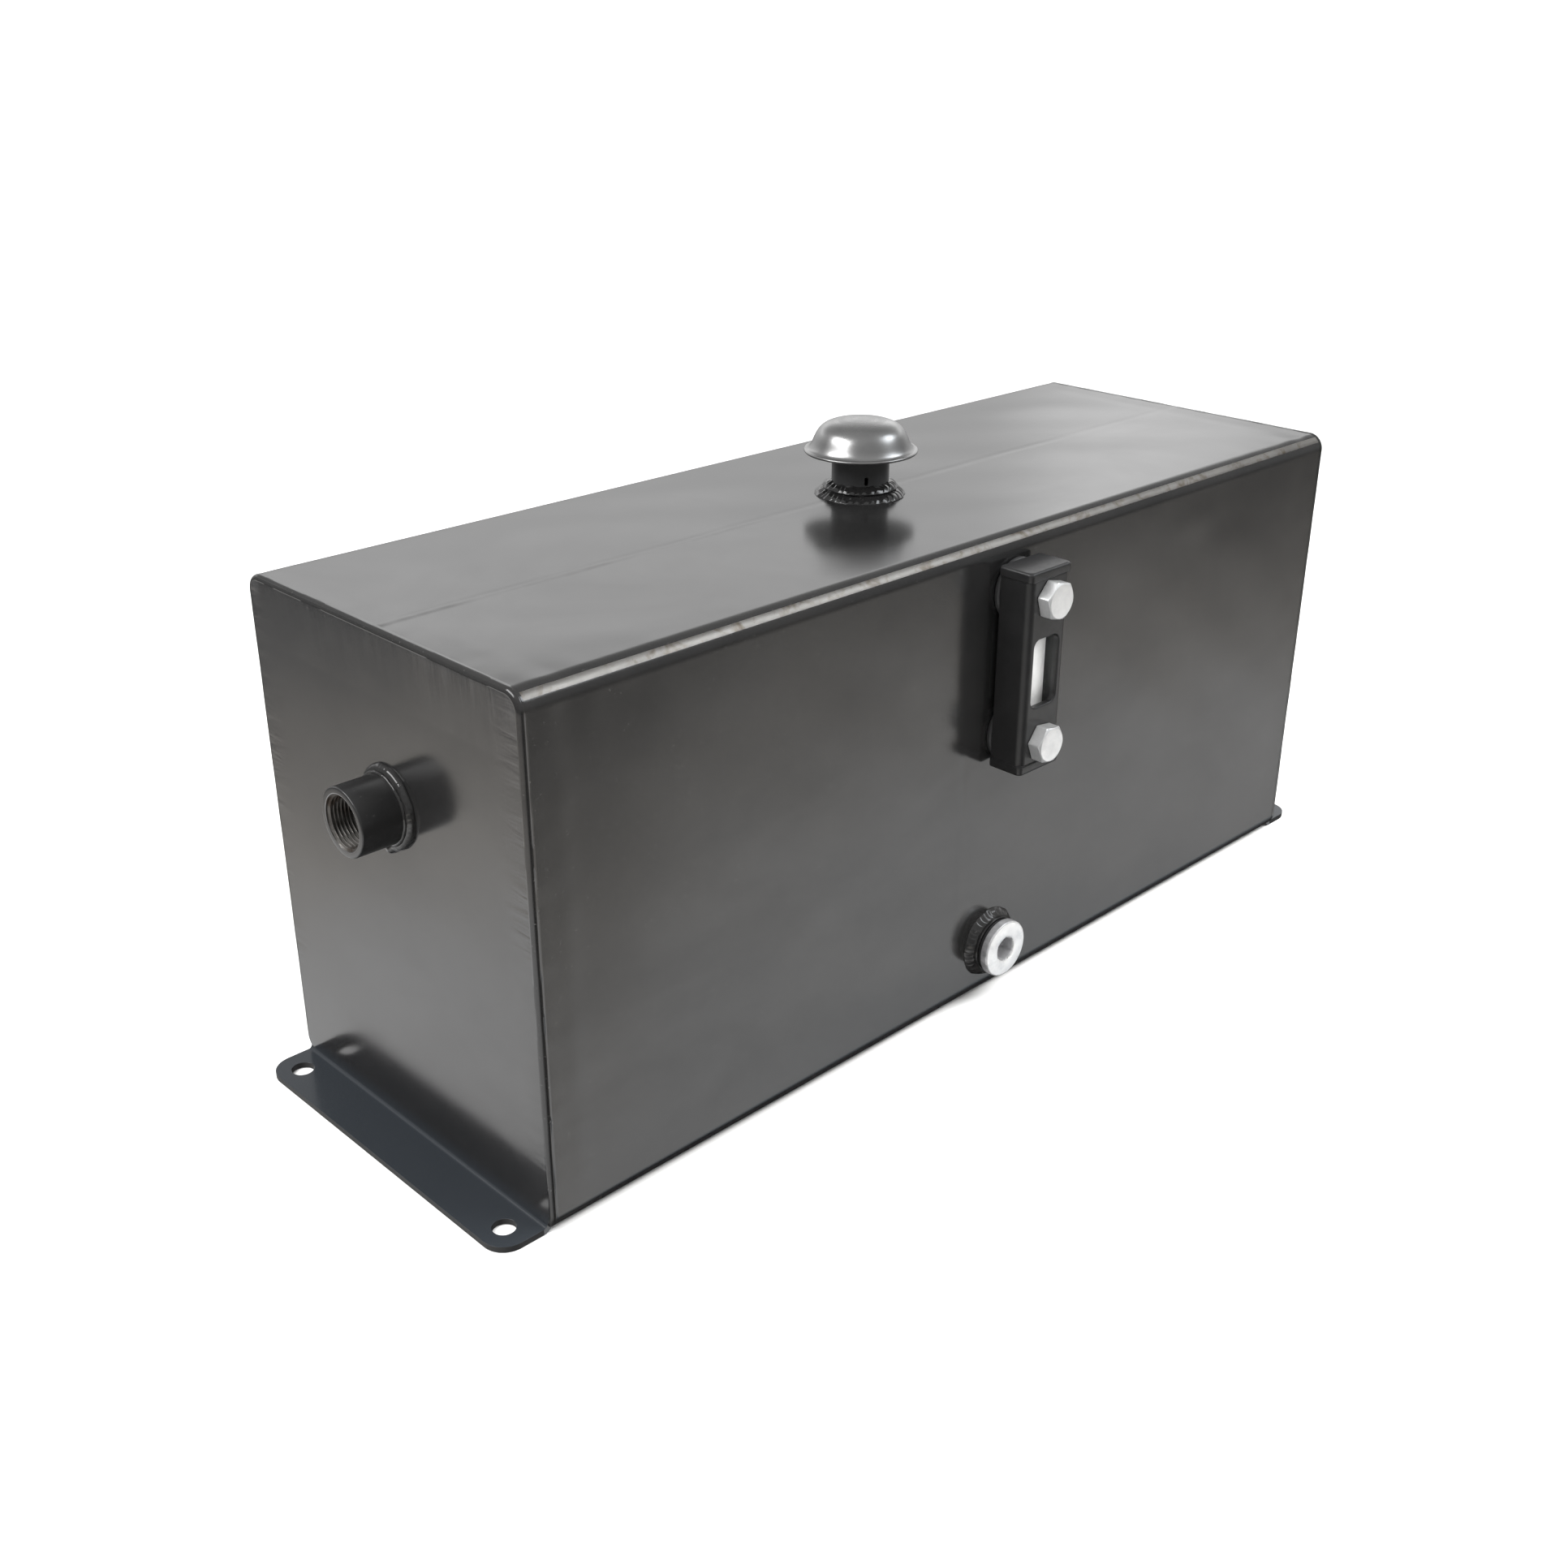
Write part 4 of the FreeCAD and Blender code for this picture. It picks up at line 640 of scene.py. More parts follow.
def build_wrap():
    rows = wrap_section()
    xs = STATIONS
    k, n = len(rows), len(xs)
    y = np.array([r[0] for r in rows])
    z = np.array([r[1] for r in rows])
    ny = np.array([r[2] for r in rows])
    nz = np.array([r[3] for r in rows])
    push = np.zeros((n, k))
    for face in ("top", "back", "bottom", "front"):
        sel = [i for i, r in enumerate(rows) if r[4] == face]
        X, Y = np.meshgrid(xs, y[sel], indexing="ij")
        Z = np.meshgrid(xs, z[sel], indexing="ij")[1]
        push[:, sel] = shell_push(X, Y, Z, face)
    # on the bends the push is carried over from the flats beside them
    i = 0
    while i < k:
        if rows[i][4] is None:
            j = i
            while rows[j][4] is None:
                j += 1
            for m in range(i, j):
                t = (m - i + 1) / (j - i + 1)
                push[:, m] = push[:, i - 1] * (1 - t) + push[:, j] * t
            i = j
        else:
            i += 1
    co = np.zeros((2, n, k, 3))
    for layer, depth in ((0, 0.0), (1, -WRAP_T)):
        co[layer, :, :, 0] = xs[:, None]
        co[layer, :, :, 1] = np.minimum(y[None, :] + (push + depth) * ny[None, :], HY)
        co[layer, :, :, 2] = z[None, :] + (push + depth) * nz[None, :]
    faces = []

    def vid(layer, i, j):
        return layer * n * k + i * k + j

    for layer in (0, 1):
        for i in range(n - 1):
            for j in range(k - 1):
                faces.append((vid(layer, i, j), vid(layer, i + 1, j), vid(layer, i + 1, j + 1), vid(layer, i, j + 1)))
    for i in range(n - 1):
        for j in (0, k - 1):
            faces.append((vid(0, i, j), vid(0, i + 1, j), vid(1, i + 1, j), vid(1, i, j)))
    for j in range(k - 1):
        for i in (0, n - 1):
            faces.append((vid(0, i, j), vid(0, i, j + 1), vid(1, i, j + 1), vid(1, i, j)))
    piece = make("tank_shell", co.reshape(-1, 3), faces, [M_TANK, M_INSIDE], None, sharp=32)
    subtract(piece, [
        cutter_round(15.1, 20.0, (NECK[0], 0, ZT - 12), "up"),
        cutter_round(16.0, 20.0, (DRAIN[0], -HY + 12, DRAIN[2]), "front"),
        cutter_round(6.5, 20.0, (GX, -HY + 12, BOLTS["upper"]), "front", seg=48),
        cutter_round(6.5, 20.0, (GX, -HY + 12, BOLTS["lower"]), "front", seg=48),
    ])
    # the inside of the sheet is bare
    index = []
    for poly in piece.data.polygons:
        c = poly.center / MM
        inside = abs(c.y) < HY - 1.6 and ZB + 1.6 < c.z < ZT - 1.6
        index.append(1 if inside else 0)
    piece.data.polygons.foreach_set("material_index", index)
    adopt(piece, "tank", ["tank_wrap"])
    return piece


build_wrap()


def seam_height(x):
    """The top seam's cap: ground lower past the middle, nearly gone at the right."""
    base = np.where(x < 100, 0.090, 0.090 - 0.065 * np.clip((x - 100) / 80.0, 0, 1))
    return base * (1 + 0.25 * line_noise(x, 77, (46, 23, 11))) + 0.010


def build_seam():
    co, faces = [], []
    half = 4.4
    for a, b in ((-HX, NECK[0] - 23.0), (NECK[0] + 23.0, HX)):
        xs = [x for x in STATIONS if a < x < b]
        fine = [a]
        for u, v in zip([a] + xs, xs + [b]):
            fine += list(np.linspace(u, v, 3))[1:]
        xs = np.array(fine)
        ys = np.linspace(-half, half, 21)
        X, Y = np.meshgrid(xs, ys, indexing="ij")
        wob = 0.35 * line_noise(X, 81, (60, 27))
        hump = np.cos(np.clip(Y / half, -1, 1) * math.pi / 2) ** 2
        crown = np.cos(np.clip((Y - wob) / (half + 0.4), -1, 1) * math.pi / 2) ** 2
        top = ZT + shell_push(X, Y, np.full_like(X, ZT), "top") + seam_height(X) * 0.5 * (hump + crown) * \
            np.where(np.abs(Y) >= half - 1e-6, 0, 1)
        base = len(co)
        n, k = len(xs), len(ys)
        co.extend(np.stack([X, Y, top], -1).reshape(-1, 3).tolist())
        low = len(co)
        gap = [(-half, ZT - 0.06), (-1.15, ZT - 0.06), (-1.15, ZT - 2.9), (1.15, ZT - 2.9), (1.15, ZT - 0.06), (half, ZT - 0.06)]
        for i, x in enumerate(xs):
            for y, z in gap:
                s = float(shell_push(np.array(x), np.array(0.0), np.array(ZT), "top"))
                co.append((x, y, z + s))
        g = len(gap)
        for i in range(n - 1):
            for j in range(k - 1):
                faces.append((base + i * k + j, base + (i + 1) * k + j, base + (i + 1) * k + j + 1, base + i * k + j + 1))
            for j in range(g - 1):
                faces.append((low + i * g + j, low + i * g + j + 1, low + (i + 1) * g + j + 1, low + (i + 1) * g + j))
            faces.append((base + i * k, low + i * g, low + (i + 1) * g, base + (i + 1) * k))
            faces.append((base + i * k + k - 1, base + (i + 1) * k + k - 1, low + (i + 1) * g + g - 1, low + i * g + g - 1))
        for i in (0, n - 1):
            faces.append([base + i * k + j for j in range(k)] + [low + i * g + j for j in reversed(range(g))])
    make("top_seam", co, faces, [M_TANK], "tank", ["top_seam_weld"], sharp=30)


build_seam()


# ---------------------------------------------------------------- end plates

def build_end(side):
    tag = "left" if side < 0 else "right"
    port = RETURN if side < 0 else SUCTION
    thick, inner = 3.0, 2.0
    bend = math.pi / 2 * (inner + thick / 2)
    foot_flat = END - (HX + 3) - inner                 # 24
    web = P1[2] - inner - thick                        # 253
    total = foot_flat + bend + web
    foot_r, top_r = 12.0, 7.0
    ts = []
    ts += [foot_r * (1 - math.cos(math.pi / 2 * k / 12)) for k in range(12)]
    ts += spread(foot_r, foot_flat, 3.0)
    ts += spread(foot_flat, foot_flat + bend, bend / 12)
    ts += spread(foot_flat + bend, foot_flat + bend + 5, 1.25)
    ts += spread(foot_flat + bend + 5, total - top_r, 4.6)
    ts += [total - top_r + top_r * math.sin(math.pi / 2 * k / 10) for k in range(11)]
    ts = np.array(ts)

    def half(t):
        if t < foot_r:
            return 88 + math.sqrt(max(0, foot_r ** 2 - (foot_r - t) ** 2))
        if t < foot_flat + bend:
            return 100.0
        if t < foot_flat + bend + 5:
            return 100 + 2 * (t - foot_flat - bend) / 5
        if t < total - top_r:
            return 102.0
        return 95 + math.sqrt(max(0, top_r ** 2 - (t - (total - top_r)) ** 2))

    cols = np.linspace(-1, 1, 47)
    n, k = len(ts), len(cols)
    co = np.zeros((2, n, k, 3))
    for i, t in enumerate(ts):
        ys = cols * half(t)
        for layer, depth in ((0, 0.0), (1, thick)):
            if t <= foot_flat:
                x, z = np.full(k, END - t), np.full(k, depth)
            elif t < foot_flat + bend:
                phi = (t - foot_flat) / bend * math.pi / 2
                rho = inner + thick - depth
                x = np.full(k, HX + 3 + inner - rho * math.sin(phi))
                z = np.full(k, inner + thick - rho * math.cos(phi))
            else:
                rise = inner + thick + (t - foot_flat - bend)
                # the web is a little out of true between its welded edges
                e = np.clip(np.minimum(102 - np.abs(ys), min(rise - 5, 258 - rise)) / 40.0, 0, 1)
                e = e * e * (3 - 2 * e)
                near_port = 1 - np.exp(-(((ys - port[1]) / 34) ** 2 + ((rise - port[2]) / 34) ** 2))
                w = (0.16 * line_noise(ys + 0.4 * rise, 31 + side, (160, 90)) + 0.13 * line_noise(rise, 35 + side, (190, 110))) * e * near_port
                edge = np.minimum(102 - np.abs(ys), 258 - rise)
                w = w - (0.09 + 0.04 * line_noise(ys + rise, 39 + side, (34, 17))) * np.exp(-np.clip(edge, 0, None) / 6.0) * min(1, max(0, (rise - 5) / 12))
                x, z = HX + depth + w, np.full(k, rise)
            co[layer, i, :, 0] = side * x
            co[layer, i, :, 1] = ys
            co[layer, i, :, 2] = z
    faces = []

    def vid(layer, i, j):
        return layer * n * k + i * k + j

    for layer in (0, 1):
        for i in range(n - 1):
            for j in range(k - 1):
                faces.append((vid(layer, i, j), vid(layer, i + 1, j), vid(layer, i + 1, j + 1), vid(layer, i, j + 1)))
    rim = [(0, j) for j in range(k)] + [(i, k - 1) for i in range(1, n)] + [(n - 1, j) for j in range(k - 2, -1, -1)] \
        + [(i, 0) for i in range(n - 2, 0, -1)]
    for a, b in zip(rim, rim[1:] + rim[:1]):
        faces.append((vid(0, *a), vid(0, *b), vid(1, *b), vid(1, *a)))
    piece = make("cutter_plate", co.reshape(-1, 3), faces, [M_END, M_INSIDE, M_EDGE], None, sharp=32)
    bm = bmesh.new()
    bm.from_mesh(piece.data)
    bm.verts.ensure_lookup_table()
    wanted = set()
    for layer in (0, 1):
        for a, b in zip(rim, rim[1:] + rim[:1]):
            wanted.add(frozenset((vid(layer, *a), vid(layer, *b))))
    edges = [e for e in bm.edges if frozenset((e.verts[0].index, e.verts[1].index)) in wanted]
    bmesh.ops.bevel(bm, geom=edges, offset=0.4 * MM, offset_type="OFFSET", segments=3, profile=0.5, affect="EDGES",
                    clamp_overlap=True)
    bm.to_mesh(piece.data)
    bm.free()
    holes = []
    for y in (-86.0, 86.0):
        holes.append(cutter_round(5.5, thick, (side * 308.5, y, 0.0), "up", flare=0.35, seg=72))
    start = side * (HX - 6)
    holes.append(cutter_round(16.4, 16.0, (start, port[1], port[2]), "left" if side < 0 else "right", seg=96))
    subtract(piece, holes)
    index = []
    for poly in piece.data.polygons:
        c = poly.center / MM
        inside = abs(c.x) < HX + 1.0 and 8 < c.z < 256 and abs(c.y) < 100
        # the foot's rim faces get the rougher, darker edge paint: painted shade from the floor
        edge = c.z < 2.9 and abs(poly.normal.z) < 0.75 and abs(c.x) > HX + 5
        index.append(1 if inside else 2 if edge else 0)
    piece.data.polygons.foreach_set("material_index", index)
    piece.name = "%s_end" % tag
    piece.data.name = piece.name
    weigh(piece)
    adopt(piece, "tank", ["%s_end_plate" % tag])
    return piece


build_end(-1)
build_end(1)


def build_corner_weld(side):
    """The bead round the end, ground to a small round, over the edge of wrap and plate."""
    tag = "left" if side < 0 else "right"
    # outline of the wrap, walked round, with its outward normal
    path = []
    y1, z0, z1, r = HY, ZB, ZT, BEND
    corners = [(y1 - r, z1 - r, math.pi / 2), (y1 - r, z0 + r, 0.0), (-y1 + r, z0 + r, -math.pi / 2), (-y1 + r, z1 - r, math.pi)]
    for i, (cy, cz, start) in enumerate(corners):
        for k in range(15):
            t = start - math.pi / 2 * k / 14
            path.append((cy + r * math.cos(t), cz + r * math.sin(t), math.cos(t), math.sin(t)))
        ny, nz = math.cos(start - math.pi / 2), math.sin(start - math.pi / 2)
        cy2, cz2, _ = corners[(i + 1) % 4]
        a = np.array((cy + r * ny, cz + r * nz))
        b = np.array((cy2 + r * ny, cz2 + r * nz))
        steps = int(np.linalg.norm(b - a) / 2.0)
        for k in range(1, steps):
            p = a + (b - a) * k / steps
            path.append((p[0], p[1], ny, nz))
    path = np.array(path)
    run = np.concatenate([[0], np.cumsum(np.linalg.norm(np.diff(path[:, :2], axis=0), axis=1))])
    total = run[-1] + np.linalg.norm(path[0, :2] - path[-1, :2])

    def wobble(seed, ks):
        return ring_noise(run / total * TAU, seed, ks)

    swell = 0.09 + 0.05 * wobble(5 + side, (7, 13, 22, 37, 61))
    flatten = 2.45 + 0.22 * wobble(9 + side, (5, 9, 17, 29))
    foot = (path[:, 1] < 8) & (np.abs(path[:, 0]) < 99.5)
    section = []
    for k in range(13):                       # from the wrap, over the round, to the plate
        t = k / 12
        if t < 0.25:
            a, b, lift = np.zeros(len(path)), np.full(len(path), -0.6 + (3.6 - 2.0) * t / 0.25), swell * math.sin(math.pi * min(1, 0.15 + t * 1.5) / 2)
        else:
            ang = (t - 0.25) / 0.75 * math.pi / 2
            a = flatten * (1 - math.cos(ang))
            b = (3.0 - flatten) + flatten * math.sin(ang)
            lift = swell * math.cos(ang * 0.9)
        section.append((a, b, lift))
    section.append((np.full(len(path), 2.55), np.full(len(path), 2.93), np.zeros(len(path))))
    section.append((np.full(len(path), 2.55), np.full(len(path), 2.2), np.zeros(len(path))))
    section.append((np.full(len(path), 2.2), np.full(len(path), 0.05), np.zeros(len(path))))
    section.append((np.full(len(path), 0.25), np.full(len(path), -0.6), np.zeros(len(path))))
    m, k = len(section), len(path)
    co = np.zeros((m, k, 3))
    for s, (a, b, lift) in enumerate(section):
        # beside the foot the bead only fills the root, so it keeps under the bend
        b = np.where(foot, np.minimum(b, 2.5), b)
        co[s, :, 0] = side * (HX + b)
        co[s, :, 1] = np.minimum(path[:, 0] - (a - lift) * path[:, 2], HY)
        co[s, :, 2] = path[:, 1] - (a - lift) * path[:, 3]
    faces = []
    for s in range(m):
        s2 = (s + 1) % m
        for j in range(k):
            j2 = (j + 1) % k
            faces.append((s * k + j, s * k + j2, s2 * k + j2, s2 * k + j))
    make("%s_corner_weld" % tag, co.reshape(-1, 3), faces, [M_WELD], "tank", ["%s_end_weld" % tag], sharp=50)


build_corner_weld(-1)
build_corner_weld(1)


# ---------------------------------------------------------------- weld beads

def bead_rings(theta, start, end, bulge, seed, ripples, ripple=0.14, rough=0.25, steps=13, drip=None, peak=0.85):
    """One pass of weld laid from start (r, z) at its toe to end (r, z) on the tube."""
    r0 = start[0] + rough * ring_noise(theta, seed, (2, 3, 5, 8, 13, 21))
    z0 = start[1] * np.ones_like(theta)
    r1 = end[0] * np.ones_like(theta)
    z1 = end[1] + rough * 0.8 * ring_noise(theta, seed + 1, (2, 4, 7, 11, 17))
    run = 0.0
    if drip is not None:
        at, wide, far = drip
        d = (theta - at + math.pi) % TAU - math.pi
        run = np.exp(-(d / wide) ** 2)
        r0 = r0 + far * run
    rings = []
    jitter = 0.35 * ring_noise(theta, seed + 2, (3, 5, 9, 14))
    for k in range(steps):
        t = k / (steps - 1)
        r = r0 + (r1 - r0) * t
        z = z0 + (z1 - z0) * t
        dr, dz = (z1 - z0), (r0 - r1)
        length = np.sqrt(dr ** 2 + dz ** 2)
        phase = (theta * ripples / TAU + jitter + 1.9 * (t - 0.5) ** 2) % 1.0
        crest = (1 - phase) ** 1.4 * np.clip(phase / 0.16, 0, 1)
        env = math.sin(math.pi * t) ** 0.6 if 0 < t < 1 else 0.0
        swell = (bulge + 1.1 * run) * (1 + 0.18 * ring_noise(theta, seed + 3, (2, 3, 6, 9))) * math.sin(math.pi * t) ** peak if 0 < t < 1 else 0.0
        out = swell + ripple * crest * env
        rings.append((r + out * dr / length, z + out * dz / length))
    return rings


def weld_bead(name, passes, r_tube, origin, way, replaces, n=432):
    theta = circle_angles(n)
    rings = []
    for one in passes:
        rings += bead_rings(theta, **one)
    last = rings[-1]
    first = rings[0]
    rings += [(np.full(n, r_tube - 0.25), last[1] - 0.05), (np.full(n, r_tube - 0.25), np.full(n, -0.3)),
              (first[0] - 0.6, np.full(n, -0.3))]
    co, faces, index = polar_mesh(rings, theta, closed=True)
    return make(name, put(co, origin, way), faces, [M_WELD], "tank", replaces, sharp=None)


weld_bead("neck_weld", [
    dict(start=(23.9, -0.02), end=(18.3, 3.5), bulge=0.40, seed=21, ripples=38, ripple=0.46, rough=0.70, steps=15, peak=1.2),
    dict(start=(19.9, 4.0), end=(15.1, 7.3), bulge=0.55, seed=25, ripples=33, ripple=0.40, rough=0.55, steps=14, peak=1.2),
], 15.1, NECK, "up", ["filler_neck_weld"])
weld_bead("drain_weld", [dict(start=(19.8, -0.02), end=(16.0, 4.4), bulge=0.12, seed=31, ripples=40, ripple=0.34, rough=0.40, peak=1.2)],
          16.0, DRAIN, "front", ["drain_boss_weld"])
for tag, place, way, seed, drip in (("return", RETURN, "left", 41, (math.pi, 0.17, 2.3)), ("suction", SUCTION, "right", 51, None)):
    weld_bead(tag + "_weld", [
        dict(start=(20.3, -0.02), end=(17.4, 3.3), bulge=0.85, seed=seed, ripples=50, ripple=0.10, rough=0.22, drip=drip),
        dict(start=(17.6, 3.15), end=(16.4, 4.25), bulge=0.30, seed=seed + 5, ripples=50, ripple=0.06, rough=0.16, steps=9),
    ], 16.4, place, way, [tag + "_socket_weld"])


# ---------------------------------------------------------------- sockets, neck and boss

MINOR, MAJOR = 12.06, 13.22


def threaded_tube(name, outer, bore_from, mouth, chamfer, z_from, origin, way, replaces, step=None, shift=0.0,
                  body="tank", n=120, ride=True, bare_mouth=True, coat=M_SOCKET):
    """Tube with a cut thread: outer is its rounded outside from the inner end to the
    mouth; the thread runs from bore_from to the mouth."""
    theta = circle_angles(n)
    rings, kinds = [], []
    for r, z in round_poly(outer, closed=False):
        rings.append((r, z))
        kinds.append(0)
    face_r = MINOR + chamfer
    if bare_mouth:
        kinds[-1] = 2
    rings.append((face_r + 0.15, mouth))
    kinds.append(2)
    rings.append((face_r - 0.1, mouth - 0.12))
    kinds.append(1)
    dz = PITCH / 9
    count = int((mouth - chamfer * 0.55 - bore_from) / dz)
    for i in range(count + 1):
        z = mouth - chamfer * 0.55 - i * dz
        r = thread_shape(theta, z + shift, MINOR, MAJOR, bore_from + shift, mouth + 9, fade=(1.0, 0))
        r = np.maximum(r, MINOR + (z - (mouth - chamfer)) if z > mouth - chamfer else MINOR)
        rings.append((r, z))
        kinds.append(1)
    for r, z in (step or [(MINOR, z_from)]):
        rings.append((r, z))
        kinds.append(1)
    co, faces, index = polar_mesh(rings, theta, closed=True, ring_mats=kinds)
    return make(name, put(co, origin, way), faces, [coat, M_BORE_SHADED, M_RIM], body if ride else None, replaces if ride else (),
                index, sharp=38)


threaded_tube("return_port", [(MINOR + 0.2, -6.0, 0), (16.4, -6.0, 0.5), (16.4, 24.0, 0.9), (MINOR + 1.6, 24.0, 0)],
              -5.0, 24.0, 1.35, -6.0, RETURN, "left", ["return_socket"])
threaded_tube("suction_port", [(9.5, -6.0, 0), (16.4, -6.0, 0.5), (16.4, 24.0, 0.9), (MINOR + 1.6, 24.0, 0)],
              4.6, 24.0, 1.35, 4.0, SUCTION, "right", ["suction_socket"],
              step=[(MINOR, 4.0), (9.3, 4.0), (9.3, -6.0)])
neck = threaded_tube("neck", [(MINOR + 0.2, -6.0, 0), (15.1, -6.0, 0.4), (15.1, 26.0, 0.6), (MINOR + 1.1, 26.0, 0)],
                     -5.0, 26.0, 0.9, -6.0, NECK, "up", ["filler_neck"], ride=False, bare_mouth=False, coat=M_NECK)
direction = math.radians(235.5)
slot_co, slot_faces = [], []
for r in (10.0, 17.5):
    for y, z in round_poly([(-1.0, 7.6, 0.9), (1.0, 7.6, 0.9), (1.0, 12.0, 0.9), (-1.0, 12.0, 0.9)], steps=5):
        slot_co.append((r * math.cos(direction) - y * math.sin(direction), r * math.sin(direction) + y * math.cos(direction), z))
half_count = len(slot_co) // 2
for j in range(half_count):
    j2 = (j + 1) % half_count
    slot_faces.append((j, j2, half_count + j2, half_count + j))
slot_faces += [list(range(half_count)), list(range(half_count, 2 * half_count))]
subtract(neck, [make("cutter", put(slot_co, NECK, "up"), slot_faces, [], None, sharp=None)], sharp=38)
adopt(neck, "tank", ["filler_neck"])
threaded_tube("drain_socket", [(MINOR + 0.2, -6.0, 0), (16.0, -6.0, 0.4), (16.0, BOSS, 0.6), (MINOR + 1.1, BOSS, 0)],
              -5.0, BOSS, 0.9, -6.0, DRAIN, "front", ["drain_boss"], bare_mouth=False, coat=M_BOSS)


# ---------------------------------------------------------------- breather

def spline(points, count):
    """Natural cubic through points, by chord length."""
    p = np.array(points, float)
    t = np.concatenate([[0], np.cumsum(np.linalg.norm(np.diff(p, axis=0), axis=1))])
    n = len(p)
    h = np.diff(t)
    out = []
    u = np.linspace(0, t[-1], count)
    for c in range(p.shape[1]):
        a = np.zeros((n, n))
        b = np.zeros(n)
        a[0, 0] = a[-1, -1] = 1
        for i in range(1, n - 1):
            a[i, i - 1], a[i, i], a[i, i + 1] = h[i - 1], 2 * (h[i - 1] + h[i]), h[i]
            b[i] = 6 * ((p[i + 1, c] - p[i, c]) / h[i] - (p[i, c] - p[i - 1, c]) / h[i - 1])
        m = np.linalg.solve(a, b)
        i = np.clip(np.searchsorted(t, u, side="right") - 1, 0, n - 2)
        s, e = u - t[i], t[i + 1] - u
        out.append(m[i] * e ** 3 / (6 * h[i]) + m[i + 1] * s ** 3 / (6 * h[i])
                   + (p[i, c] / h[i] - m[i] * h[i] / 6) * e + (p[i + 1, c] / h[i] - m[i + 1] * h[i] / 6) * s)
    return np.stack(out, 1)


def build_cap():
    crown = [(0.0, 39.5), (7.0, 39.15), (13.0, 38.35), (18.1, 36.9), (21.5, 34.6), (23.6, 31.6),
             (25.1, 28.4), (26.5, 25.6), (27.9, 24.1), (28.6, 23.85)]
    mirrored = [(-r, z) for r, z in reversed(crown[1:4])] + crown
    curve = spline(mirrored, 150)
    curve = curve[curve[:, 0] > 0.35]
    tangent = np.gradient(curve, axis=0)
    tangent /= np.linalg.norm(tangent, axis=1)[:, None]
    inside = curve + np.stack([tangent[:, 1], -tangent[:, 0]], 1) * 0.8
    rings = [(0, 39.5)] + [(r, z) for r, z in curve]
    centre, small = (29.0, 23.12), 0.76
    for k in range(15):
        a = math.radians(108 - k * 20.5)
        rings.append((centre[0] + small * math.cos(a), centre[1] + small * math.sin(a)))
    keep = inside[(inside[:, 0] < 27.6)]
    rings += [(r, z) for r, z in keep[::-2] if r > 0.6]
    rings.append((0, 38.7))
    theta = circle_angles(200)
    # pressed sheet: very slightly out of round, and uneven at the rolled rim
    wob = 0.06 * ring_noise(theta, 61, (2, 3, 5))
    dent = 0.05 * ring_noise(theta, 62, (11, 17, 23, 31))
    shaped = []
    for r, z in rings:
        if np.isscalar(r) and r == 0:
            shaped.append((0, z))
            continue
        near_rim = max(0.0, (r - 25.0) / 4.8)
        shaped.append((r + near_rim * wob, z + near_rim * dent))
    co, faces, index = polar_mesh(shaped, theta)
    make("cap_dome", put(co, NECK, "up"), faces, [M_CAP], "breather", ["breather_cap"], sharp=60)


build_cap()


def build_stem():
    theta = circle_angles(120)
    seat, tip = 27.5, 13.0
    rings = [(7.5, tip), (11.2, tip), (11.5, tip + 0.25)]
    dz = PITCH / 9
    z = tip + 0.4
    while z < seat - 0.9:
        rings.append((thread_shape(theta, z, 11.92, 13.12, tip + 0.2, seat - 0.9, fade=(0.8, 0.8)), z))
        z += dz
    rings += [(11.92, seat - 0.85), (11.92, seat)]
    for r, h in round_poly([(11.92, seat, 0), (15.1, seat, 0.4), (15.1, seat + 2.5, 0.4), (9.5, seat + 2.5, 0.2),
                            (9.5, seat + 5.7, 0.5), (7.5, seat + 5.7, 0.3)], closed=False)[1:]:
        rings.append((r, h))
    co, faces, index = polar_mesh(rings, theta, closed=True)
    make("breather_spigot", put(co, NECK, "up"), faces, [M_BREATHER], "breather", ["breather_stem"], sharp=38)


build_stem()

lathe("neck_gasket", [(13.2, 26.02, 0.2), (15.15, 26.02, 0.35), (15.15, 27.48, 0.35), (13.2, 27.48, 0.2)],
      NECK, "up", [M_GASKET], "breather_seal", ["breather_gasket"])


def foam_warp(theta, r, z):
    rough = 0.18 * ring_noise(theta, int(r * 10 + z * 7) % 97, (31, 47, 59, 73))
    return r + rough, z + (rough if z > 32 else 0 * rough)


lathe("air_element", [(10.1, 30.8, 0), (20.0, 30.8, 0.3), (20.0, 33.2, 0.8), (18.6, 34.8, 0.8), (10.1, 34.8, 0.4)],
      NECK, "up", [M_FOAM], "breather", ["breather_element"], seg=220, warp=foam_warp, sharp=None)


# ---------------------------------------------------------------- hexagon pieces

def hex_radius(theta, flats, turn=0.0, soft=0.985):
    """Distance to a hexagon's side in each direction; corners are eased."""
    local = (theta - turn + math.pi / 6) % (math.pi / 3) - math.pi / 6
    r = flats / 2 / np.cos(local)
    return np.minimum(r, flats / 2 / math.cos(math.pi / 6) * soft)


def hex_angles(turn=0.0, extra=10):
    """Angles with one on each side of every corner, so that corners stay crisp."""
    out = []
    for k in range(6):
        corner = turn + math.pi / 6 + k * math.pi / 3
        for d in (-0.045, -0.018, 0.018, 0.045):
            out.append(corner + d)
        out += list(np.linspace(corner + 0.045, corner + math.pi / 3 - 0.045, extra + 2)[1:-1])
    return np.sort(np.array(out) % TAU)


